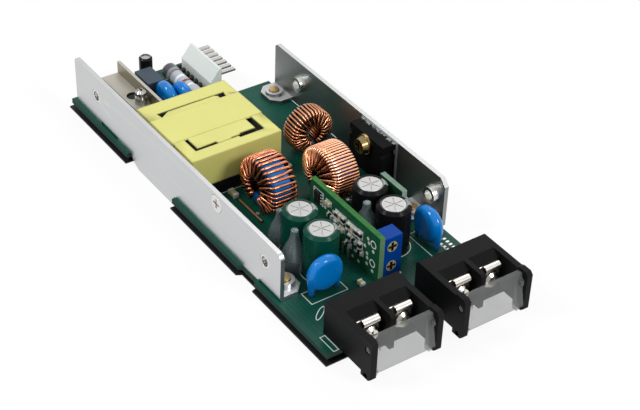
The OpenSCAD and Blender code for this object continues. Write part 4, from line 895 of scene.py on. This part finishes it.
class SUPPLY_OT_glue(bpy.types.Operator):
    """Lumps of pale glue in the crevices between the capacitor cans"""

    bl_idname = "supply.glue"
    bl_label = "Glue"

    def execute(self, context):
        pale = hot_melt("pale_glue", context.scene.supply_colours.glue)
        cans = spots_along_x("green_sleeves") + spots_along_x("black_sleeves")
        low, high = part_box("green_sleeves")
        r = (high.y - low.y) / 2
        tall = high.z - BOARD_TOP
        (gx, gy), (gx2, _), (bx, by), (bx2, _) = cans
        # Place, radius, height as a share of the cans' and where the drop begins to narrow
        for name, at, wide, rise, waist in (
                ("glue_green", ((gx + gx2) / 2, gy - r - GLUE_GAP), 3.8 * MM, 0.88, 0.24),
                ("glue_black", ((bx + bx2) / 2, by - r - GLUE_GAP), 3.8 * MM, 0.94, 0.40),
                ("glue_back", (gx - r - 0.6 * MM, gy - 2.8 * MM), 3.2 * MM, 0.80, 0.26)):
            self.drop(name, at, wide, tall * rise, waist, cans, r, pale)
        return {"FINISHED"}

    def drop(self, name, at, r, tall, waist, cans, can_r, pale):
        piece = open_piece(name, pale)
        girth = []
        for k in range(GLUE_STEPS + 1):
            t = min(1.0, max(0.0, (k / GLUE_STEPS - waist) / (GLUE_NECK_AT - waist)))
            girth.append(r * (1 - (1 - GLUE_NECK) * t * t * (3 - 2 * t)))
        for k in range(GLUE_STEPS):
            bpy.ops.mesh.primitive_cone_add(vertices=28, radius1=girth[k], radius2=girth[k + 1],
                                            depth=tall / GLUE_STEPS * GLUE_LAP,
                                            location=(*at, BOARD_TOP + tall * (k + 0.5) / GLUE_STEPS))
        melt(piece, GLUE_MELT)
        apply_all(piece)
        for x, y in cans:
            deselect()
            bpy.ops.mesh.primitive_cylinder_add(vertices=96, radius=can_r + CAN_CLEAR, depth=CAN_CUT,
                                                location=(x, y, BOARD_TOP))
            carve(piece, bpy.context.object)
        bpy.ops.mesh.primitive_cube_add(size=FLOOR_CUT, location=(0, 0, BOARD_TOP - FLOOR_CUT / 2))
        carve(piece, bpy.context.object)
        close_piece(piece, "glue", "glue_blobs", angle=50)


# Print and small parts on the boards

# Numbers of the finishes: ink and tin on printed pieces; black, tan and tin on small parts
INK, PRINT_TIN = 0, 1
BODY_BLACK, BODY_TAN, TIN = 0, 1, 2
CAN_RING = 0.6 * MM
# Parts that scattered print keeps away from, and the margin in millimetres of their printed outline, if any
OUTLINED = (("front_discs", 0), ("box_capacitor", 0.5), ("left_terminal_block", 0),
            ("right_terminal_block", 0), ("transformer_bobbin", 0.6), ("fuse_body", 0.8),
            ("rear_heat_sink", 0), ("trimmer_bodies", 0.4), ("header_base", 0.5))
# Scattered print: how many spots, and their least distance from each other and from parts
SPOTS, SPOT_GAP, PART_GAP = 46, 3.6 * MM, 1 * MM
EDGE_GAP, FRONT_GAP = 4 * MM, 6 * MM
# The board's cut-away corner beside the header
CORNER_X, CORNER_Y = -50.5 * MM, 12.8 * MM
# Scattered outlines with their two solder spots, and round spots
PART_LONG, PART_SHORT, PART_LINE = 3.0 * MM, 1.5 * MM, 0.8
SPOT_AT, SPOT_LONG, SPOT_SHORT = 0.9 * MM, 1.0 * MM, 0.8 * MM
EYE_R, EYE_RIM = 0.5 * MM, 0.22 * MM
# Print by the front parts: frames of the discs, an oval and a frame by the left block, rows by the right one
DISC_FRAME, DISC_FRAME_AT = 1.6 * MM, 0.3 * MM
OVAL_AT, OVAL, OVAL_TURN = (-6.5 * MM, 3.6 * MM), (6.0 * MM, 1.7 * MM), math.radians(128)
BLOCK_FRAME_AT, BLOCK_FRAME = (4.3 * MM, -1.1 * MM), (6.4 * MM, 1.8 * MM)
ROW_SPOTS, ROW_SPOT = 18, (0.7 * MM, 1.0 * MM)
ROW_AT, ROW_STEP = (2.5 * MM, 1.2 * MM), (1.4 * MM, 2.2 * MM)


class SUPPLY_OT_board_print(bpy.types.Operator):
    """Printed outlines and bare solder spots on the main board"""

    bl_idname = "supply.board_print"
    bl_label = "Board print"

    def execute(self, context):
        sizes, tints = context.scene.supply_sizes, context.scene.supply_colours
        piece = open_piece("board_print", printed_ink("white_ink", tints.ink), soldered("tinned_spot", tints))
        z, w = BOARD_TOP + sizes.ink, sizes.line
        taken = self.outlines(piece, z, w)
        self.front(piece, z, w)
        self.scatter(piece, z, w, taken, random.Random(sizes.seed))
        bpy.ops.mesh.select_all(action="SELECT")
        bpy.ops.mesh.normals_make_consistent(inside=False)
        modify(piece, "SOLIDIFY", thickness=sizes.ink, offset=-1)
        close_piece(piece, "pcb_green")
        return {"FINISHED"}

    def outlines(self, piece, z, w):
        """Rings and rectangles round the larger parts; returns the boxes that are taken"""
        taken = []
        for node in ("green_sleeves", "black_sleeves"):
            low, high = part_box(node)
            for x, y in spots_along_x(node):
                ring_line(piece, (x, y, z), (high.y - low.y) / 2 + CAN_RING, w, sides=48)
            taken.append((low, high))
        for node, margin in OUTLINED:
            low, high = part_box(node)
            taken.append((low, high))
            if margin:
                grow = 2 * margin * MM
                size = (high.x - low.x + grow, high.y - low.y + grow)
                frame_line(piece, (*middle_xy(low, high), z), size, w)
        return taken

    def front(self, piece, z, w):
        """Outlines of the front discs, an oval and a rectangle by the left block, two rows of solder spots
        by the right one"""
        for far in (False, True):
            low, high = side_box("front_discs", far)
            x, y = middle_xy(low, high)
            size = (high.x - low.x + DISC_FRAME, high.y - low.y + DISC_FRAME)
            frame_line(piece, (x + DISC_FRAME_AT, y, z), size, w)
        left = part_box("left_terminal_block")[0]
        oval_line(piece, (left.x + OVAL_AT[0], left.y + OVAL_AT[1], z), OVAL, w, OVAL_TURN)
        frame_line(piece, (left.x + BLOCK_FRAME_AT[0], left.y + BLOCK_FRAME_AT[1], z), BLOCK_FRAME, w)
        low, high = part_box("right_terminal_block")
        for k in range(ROW_SPOTS):
            x = low.x - ROW_AT[0] - (k // 2) * ROW_STEP[0]
            y = high.y - ROW_AT[1] - (k % 2) * ROW_STEP[1]
            sheet_piece(piece, (x, y, z), ROW_SPOT, PRINT_TIN, LYING)

    def scatter(self, piece, z, w, taken, chance):
        """Small outlines with a spot at both ends, and rings, over the open board"""
        low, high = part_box("main_board")
        spots = []
        while len(spots) < SPOTS:
            x = chance.uniform(low.x + EDGE_GAP, high.x - FRONT_GAP)
            y = chance.uniform(low.y + EDGE_GAP, high.y - EDGE_GAP)
            if any(a.x - PART_GAP < x < b.x + PART_GAP and a.y - PART_GAP < y < b.y + PART_GAP
                   for a, b in taken):
                continue
            if any(abs(x - p) < SPOT_GAP and abs(y - q) < SPOT_GAP for p, q in spots):
                continue
            if x < CORNER_X and y > CORNER_Y:
                continue
            spots.append((x, y))
        for k, (x, y) in enumerate(spots):
            turn = chance.random() < 0.5
            if k % 3:
                ring_line(piece, (x, y, z), EYE_R, EYE_RIM, PRINT_TIN, sides=14)
                continue
            outline = (PART_LONG, PART_SHORT) if turn else (PART_SHORT, PART_LONG)
            frame_line(piece, (x, y, z), outline, w * PART_LINE)
            for s in BOTH_WAYS:
                at = (x + s * SPOT_AT, y, z) if turn else (x, y + s * SPOT_AT, z)
                size = (SPOT_SHORT, SPOT_LONG) if turn else (SPOT_LONG, SPOT_SHORT)
                sheet_piece(piece, at, size, PRINT_TIN, LYING)


# Small parts on the control board: from its front end, height, length and tallness in millimetres; tan or not
SMALL = ((13.5, 10.8, 1.3, 2.0, 0), (11.9, 10.8, 1.3, 2.0, 1), (10.3, 10.8, 1.3, 2.0, 0),
         (8.5, 11.0, 1.3, 2.0, 0), (8.3, 7.6, 1.3, 2.0, 0), (8.2, 5.4, 2.0, 1.2, 0),
         (19.2, 10.9, 1.2, 2.0, 0), (17.6, 10.9, 1.2, 2.0, 1), (16.1, 10.9, 1.2, 2.0, 0),
         (22.2, 8.5, 2.0, 1.2, 0), (23.4, 11.9, 2.0, 1.2, 1), (19.6, 7.6, 1.2, 2.0, 0),
         (16.8, 7.4, 2.0, 1.2, 1), (13.0, 7.2, 1.2, 2.0, 0), (11.0, 7.3, 2.0, 1.2, 0),
         (13.6, 4.4, 2.0, 1.2, 0))
# Bare solder spots on the control board: from its front end, height, in millimetres
BARE = ((5.2, 11.9), (4.7, 10.7), (2.7, 9.1), (5.3, 6.9), (5.1, 5.5), (5.2, 3.5), (8.8, 1.8),
        (11.5, 1.8), (2.6, 2.6), (6.4, 8.8), (14.9, 8.9), (21.0, 10.6), (24.9, 9.6), (18.0, 5.6),
        (10.6, 4.2))
SMALL_DEEP = 0.7 * MM
# Eight-legged chip near the far end: place, size, how far it stands off, and its legs in two steps
CHIP_AT, CHIP_UP, CHIP_OFF = 28.2 * MM, 11.2 * MM, 0.45 * MM
CHIP, LEG = (2.6 * MM, SMALL_DEEP, 3.8 * MM), (0.5 * MM, 0.16 * MM, 0.42 * MM)
LEG_STEP, LEG_SPOTS = 0.95 * MM, ((1.5 * MM, 0.32 * MM), (1.85 * MM, 0.10 * MM))
# Solder end of a small part: its length and place as shares of the part's, and how far it stands proud
END, END_AT, PROUD, PROUD_Y, PROUD_AT = 0.24, 0.40, 1.04, 1.06, 0.02 * MM
# The same on the main board, where the body is smaller than the built part along X and across
FLAT_END_AT, BODY_LONG, BODY_SHORT = 0.38, 0.98, 0.94
SMALL_BEVEL, FLAT_BEVEL = 0.06 * MM, 0.08 * MM
# Print on the control board: lines, margins of the frames in millimetres, rings and solder spots
MARK_LINE, MARK_MARGIN, CHIP_FRAME = 0.26 * MM, (0.75, 0.8), (4.8 * MM, 4.5 * MM)
RING_AT, RING_UP, RING_R, RING_LINE = 2.8 * MM, (11.4, 5.1), 1.25 * MM, 0.34 * MM
BARE_R, BARE_RIM, BARE_DIP = 0.55 * MM, 0.16 * MM, 0.02 * MM
SAME_PART = 5 * MM  # corners closer than this belong to one part


class SUPPLY_OT_small_parts(bpy.types.Operator):
    """Small parts with their solder ends, legs and outlines on the control board and the main board"""

    bl_idname = "supply.small_parts"
    bl_label = "Small parts"

    def execute(self, context):
        sizes, tints = context.scene.supply_sizes, context.scene.supply_colours
        black = moulded("chip_black", tints.chip, 0.42, 9000, 4e-6, 0)
        tan = moulded("chip_tan", tints.ceramic, 0.5, 9000, 4e-6, 0)
        tin = soldered("solder", tints)
        self.control(black, tan, tin)
        self.control_print(sizes.ink, printed_ink("module_ink", tints.ink), tin)
        self.main(black, tan, tin)
        return {"FINISHED"}

    def chip(self, piece, at, along, tall, body):
        """A small part on the upright board: body and two solder ends"""
        x, y, z = at
        deep = SMALL_DEEP
        lump(piece, body, (x, y - deep / 2, z), (along, deep, tall))
        for s in BOTH_WAYS:
            if tall > along:
                at, size = (x, z + s * tall * END_AT), (along * PROUD, tall * END)
            else:
                at, size = (x + s * along * END_AT, z), (along * END, tall * PROUD)
            lump(piece, TIN, (at[0], y - deep / 2 - PROUD_AT, at[1]), (size[0], deep * PROUD_Y, size[1]))

    def control(self, black, tan, tin):
        low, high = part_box("control_board")
        y, x1 = low.y, high.x
        piece = open_piece("control_parts", black, tan, tin)
        for x, z, along, tall, body in SMALL:
            self.chip(piece, (x1 - x * MM, y, BOARD_TOP + z * MM), along * MM, tall * MM, body)
        cx, cz = x1 - CHIP_AT, BOARD_TOP + CHIP_UP
        lump(piece, BODY_BLACK, (cx, y - CHIP_OFF, cz), CHIP)
        for s in BOTH_WAYS:
            for k in range(4):
                z = cz + (k - 1.5) * LEG_STEP
                for out, off in LEG_SPOTS:
                    lump(piece, TIN, (cx + s * out, y - off, z), LEG)
        modify(piece, "BEVEL", width=SMALL_BEVEL, segments=2)
        close_piece(piece, "chip_black", "control_chips")

    def control_print(self, thick, ink, tin):
        low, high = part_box("control_board")
        y, x1 = low.y - thick, high.x
        marks = open_piece("control_print", ink, tin)
        for x, z, along, tall, _ in SMALL:
            size = ((along + MARK_MARGIN[0]) * MM, (tall + MARK_MARGIN[1]) * MM)
            frame_line(marks, (x1 - x * MM, y, BOARD_TOP + z * MM), size, MARK_LINE, UPRIGHT)
        frame_line(marks, (x1 - CHIP_AT, y, BOARD_TOP + CHIP_UP), CHIP_FRAME, MARK_LINE, UPRIGHT)
        for z in RING_UP:
            ring_line(marks, (x1 - RING_AT, y, BOARD_TOP + z * MM), RING_R, RING_LINE, INK, UPRIGHT)
        for x, z in BARE:
            round_face(marks, (x1 - x * MM, y, BOARD_TOP + z * MM), BARE_R, PRINT_TIN, UPRIGHT, 18)
            bpy.ops.mesh.inset(thickness=BARE_RIM, depth=BARE_DIP)
        modify(marks, "SOLIDIFY", thickness=thick, offset=-1)
        close_piece(marks, "module_pcb")

    def main(self, black, tan, tin):
        """The tan parts that lie on the main board, with their solder ends"""
        piece = open_piece("board_chips", black, tan, tin)
        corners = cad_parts["surface_chips"].data.vertices
        groups = []
        for x, y in sorted({(round(v.co.x, 6), round(v.co.y, 6)) for v in corners}):
            for g in groups:
                if abs(x - g[0][0]) < SAME_PART and abs(y - g[0][1]) < SAME_PART:
                    g.append((x, y))
                    break
            else:
                groups.append([(x, y)])
        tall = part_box("surface_chips")[1].z - BOARD_TOP
        z = BOARD_TOP + tall / 2
        for g in groups:
            (x0, y0), (x1, y1) = ([pick_end(p[i] for p in g) for i in range(2)] for pick_end in (min, max))
            x, y, lx, ly = (x0 + x1) / 2, (y0 + y1) / 2, x1 - x0, y1 - y0
            lump(piece, BODY_TAN, (x, y, z), (lx * BODY_LONG, ly * BODY_SHORT, tall * BODY_SHORT))
            for s in BOTH_WAYS:
                at = (x + s * lx * FLAT_END_AT, y) if lx > ly else (x, y + s * ly * FLAT_END_AT)
                size = (lx * END, ly) if lx > ly else (lx, ly * END)
                lump(piece, TIN, (*at, z), (*size, tall))
        modify(piece, "BEVEL", width=FLAT_BEVEL, segments=2)
        close_piece(piece, "chip_tan", "surface_chips")


# Finishes of the built parts


class SUPPLY_OT_metalwork(bpy.types.Operator):
    """Side plates, clinch nuts, screws and leads"""

    bl_idname = "supply.metalwork"
    bl_label = "Plates and fasteners"

    def execute(self, context):
        tints = context.scene.supply_colours
        dress(rolled("near_plate_alu", tints.plate), "near_side_plate")
        # Far plate: upright faces in a darker copy of the aluminium, which is painted shade; flat faces in
        # the near plate's colour
        dress(rolled("far_plate_shaded_alu", tints.far_plate_shaded, 0.40, lying=tints.plate), "far_side_plate")
        dress(plated("zinc_steel", tints.zinc), "clinch_nuts", "countersunk_screw")
        dress(plated("sink_zinc", toned(tints.zinc, 0.55), 0.22), "sink_screw")
        dress(plated("brass", tints.brass, 0.28), "bracket_screws", "sink_post")
        dress(plated("dull_brass", toned(tints.brass, 0.56, 0.60, 0.58), 0.24), "device_screw")
        dress(plated("tinned_wire", tints.tinned, 0.28, 0), "device_leads", "component_leads", "board_pins",
              "transformer_pins", "terminal_legs")
        dress(plated("header_tin", toned(tints.tinned, 0.7), 0.36, 0), "header_pins")
        dress(plated("nickel", tints.nickel, 0.18), "terminal_plates", "wire_clamps", "terminal_screws")
        dress(plated("jumper_copper", tints.jumper, 0.5, 0), "jumper_wire")
        return {"FINISHED"}


class SUPPLY_OT_boards(bpy.types.Operator):
    """Main board, insulating sheet, upright boards and trimmers"""

    bl_idname = "supply.boards"
    bl_label = "Boards and trimmers"

    def execute(self, context):
        tints = context.scene.supply_colours
        dress(masked_board("pcb_green", tints.board, tints.board_rim, "Z"), "main_board")
        dress(masked_board("module_pcb", tints.module, tints.module_rim, "Y"), "control_board")
        dress(masked_board("sense_pcb", toned(tints.module, 0.55), tints.sense_rim, "Y"), "sense_board")
        dress(moulded("black_sheet", tints.sheet, 0.55, 3000, 8e-6), "insulating_sheet")
        dress(moulded("foam", tints.foam, 0.9, 2500, 3e-5), "sheet_pads")
        dress(moulded("trimmer_blue", tints.trimmer, 0.40, Specular_IOR_Level=0.08), "trimmer_bodies")
        for name in ("upper_rotor", "lower_rotor"):
            dress(slotted(name + "_cream", tints.rotor, *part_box(name)), name)
        return {"FINISHED"}


# Front and right edge of the built tape's slots, from its highest corner
SLOT_FRONT, SLOT_RIGHT = 3.41, 3.64
# The openings are cut wider than the slots so that the black coil shows where the slots lie in shade: painted
# shade
# What the openings gain on those slots, in millimetres back from the edges: farthest and nearest along X,
# farthest and nearest along Y
FRONT_CUTS = ((7.06, 0, 2.1, 0.5), (1.0, 0, 8.2, 0.02), (1.4, 0.75, 10.4, 7.3), (1.0, 0.75, 15.1, 10.3))
# The same for the rear slot, but along X from the tape's lowest corner
REAR_CUT = (5.22, 7.5, 2.5, 0.25)
CUT_BELOW, CUT_ABOVE = 0.7 * MM, 0.5 * MM


class SUPPLY_OT_tape(bpy.types.Operator):
    """Tape round the transformer, with the ragged slots that show the dark coil below; the coil's black there
    is painted shade
    """

    bl_idname = "supply.tape"
    bl_label = "Transformer tape"

    def execute(self, context):
        low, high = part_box("transformer_tape")
        piece = bpy.data.objects.new("tape_wrap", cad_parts["transformer_tape"].data.copy())
        context.scene.collection.objects.link(piece)
        pick(piece)
        bpy.ops.object.mode_set(mode="EDIT")
        bpy.ops.mesh.select_all(action="SELECT")
        bpy.ops.mesh.remove_doubles(threshold=1e-6)
        bpy.ops.mesh.normals_make_consistent(inside=False)
        bpy.ops.object.mode_set(mode="OBJECT")
        front, right = high.x - SLOT_FRONT * MM, high.y - SLOT_RIGHT * MM
        for x0, x1, y0, y1 in FRONT_CUTS:
            self.cut(piece, (front - x0 * MM, front - x1 * MM), (right - y0 * MM, right - y1 * MM), high.z)
        x0, x1, y0, y1 = REAR_CUT
        self.cut(piece, (low.x + x0 * MM, low.x + x1 * MM), (right - y0 * MM, right - y1 * MM), high.z)
        piece.data.materials.clear()
        piece.data.materials.append(wound_tape("yellow_tape", context.scene.supply_colours.tape))
        close_piece(piece, "yellow_tape", "transformer_tape")
        return {"FINISHED"}

    def cut(self, piece, xs, ys, top):
        spans = (xs, ys, (top - CUT_BELOW, top + CUT_ABOVE))
        deselect()
        bpy.ops.mesh.primitive_cube_add(size=1, location=[(a + b) / 2 for a, b in spans],
                                        scale=[b - a for a, b in spans])
        carve(piece, bpy.context.object)


class SUPPLY_OT_magnetics(bpy.types.Operator):
    """Transformer and choke cores"""

    bl_idname = "supply.magnetics"
    bl_label = "Transformer and cores"

    def execute(self, context):
        tints = context.scene.supply_colours
        dress(moulded("bobbin_black", tints.bobbin, 0.38), "transformer_bobbin")
        dress(moulded("ferrite", tints.ferrite, 0.55, 5000, 8e-6), "transformer_core")
        # The coil takes the bobbin's black: painted shade in the tape's slots
        dress(moulded("coil", tints.bobbin, 0.5), "transformer_winding")
        dress(dipped("core_blue", tints.core, 0.30), "near_choke_core", "far_choke_core")
        dress(dipped("core_dark", tints.small_core, 0.30), "small_choke_core")
        return {"FINISHED"}


class SUPPLY_OT_capacitors(bpy.types.Operator):
    """Cans, sleeves and the box capacitor"""

    bl_idname = "supply.capacitors"
    bl_label = "Capacitors"

    def execute(self, context):
        tints = context.scene.supply_colours
        dress(rolled("can_alu", tints.can, 0.38, (900, 900, 900), Metallic=0.45), "capacitor_cans")
        for name, tint, gloss in (("green_sleeve", tints.green_sleeve, 0.10),
                                  ("black_sleeve", tints.black_sleeve, 0.05)):
            node = name + "s"
            dress(shrunk_sleeve(name, tint, tints.stripe, spots_along_x(node), gloss=gloss), node)
        low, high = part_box("small_capacitor")
        top_r = (high.x - low.x) * 0.36
        small = shrunk_sleeve("small_sleeve", tints.black_sleeve, tints.stripe, [middle_xy(low, high)],
                              tints.can, top_r)
        dress(small, "small_capacitor")
        dress(moulded("box_grey", tints.box, 0.40), "box_capacitor")
        return {"FINISHED"}


class SUPPLY_OT_terminals(bpy.types.Operator):
    """Terminal blocks and their clear covers"""

    bl_idname = "supply.terminals"
    bl_label = "Terminal blocks"

    def execute(self, context):
        tints = context.scene.supply_colours
        block = moulded("block_black", tints.block, 0.46, 5000, 8e-6, 0.18 * MM, Specular_IOR_Level=0.07)
        dress(block, "left_terminal_block", "right_terminal_block")
        dress(clear_moulding("clear_cover", tints.cover), "left_cover", "right_cover")
        return {"FINISHED"}


class SUPPLY_OT_rear(bpy.types.Operator):
    """Header, beads, fuse, heat sink and power devices"""

    bl_idname = "supply.rear"
    bl_label = "Rear parts and devices"

    def execute(self, context):
        tints = context.scene.supply_colours
        low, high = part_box("fuse_body")
        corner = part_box("far_device")[1]
        dress(moulded("header_white", tints.header, 0.42, 6000, 5e-6, 0.2 * MM, 0.06), "header_base")
        dress(moulded("bead_black", tints.epoxy, 0.35), "bead_row")
        # Painted light and shade: lighter flat faces, darker upright flange
        dress(rolled("sink_tan", tints.sink_wall_shaded, 0.42, lying=tints.sink), "rear_heat_sink")
        dress(glazed_fuse("fuse_grey", tints.fuse, tints.ring, low.x, high.x), "fuse_body", "fuse_caps")
        dress(moulded("black_epoxy", tints.epoxy, 0.42, 4200, 8e-6), "rear_rectifier")
        dress(pasted("pasted_epoxy", toned(tints.epoxy, 0.5), tints.stripe, corner), "far_device")
        dress(moulded("thermal_pad", tints.pad, 0.6), "device_pad")
        return {"FINISHED"}


class SUPPLY_PT_panel(bpy.types.Panel):
    """Lists the pieces of the supply"""

    bl_idname = "SUPPLY_PT_panel"
    bl_label = "Power supply"
    bl_space_type = "VIEW_3D"
    bl_region_type = "UI"
    bl_category = "Supply"

    def draw(self, context):
        for operator in OPERATORS:
            self.layout.operator(operator.bl_idname)
        for group in (context.scene.supply_sizes, context.scene.supply_colours):
            box = self.layout.box()
            for name in group.__annotations__:
                box.prop(group, name)


OPERATORS = (SUPPLY_OT_stage, SUPPLY_OT_windings, SUPPLY_OT_discs, SUPPLY_OT_glue, SUPPLY_OT_board_print,
             SUPPLY_OT_small_parts, SUPPLY_OT_metalwork, SUPPLY_OT_boards, SUPPLY_OT_tape,
             SUPPLY_OT_magnetics, SUPPLY_OT_capacitors, SUPPLY_OT_terminals, SUPPLY_OT_rear)
CLASSES = (SupplySizes, SupplyColours) + OPERATORS + (SUPPLY_PT_panel,)


def register():
    for cls in CLASSES:
        bpy.utils.register_class(cls)
    bpy.types.Scene.supply_sizes = PointerProperty(type=SupplySizes)
    bpy.types.Scene.supply_colours = PointerProperty(type=SupplyColours)


def unregister():
    del bpy.types.Scene.supply_colours
    del bpy.types.Scene.supply_sizes
    for cls in reversed(CLASSES):
        bpy.utils.unregister_class(cls)


def main():
    register()
    bpy.ops.supply.stage()
    bpy.ops.supply.windings()
    bpy.ops.supply.discs()
    bpy.ops.supply.glue()
    bpy.ops.supply.board_print()
    bpy.ops.supply.small_parts()
    bpy.ops.supply.metalwork()
    bpy.ops.supply.boards()
    bpy.ops.supply.tape()
    bpy.ops.supply.magnetics()
    bpy.ops.supply.capacitors()
    bpy.ops.supply.terminals()
    bpy.ops.supply.rear()


if __name__ == "__main__":
    main()
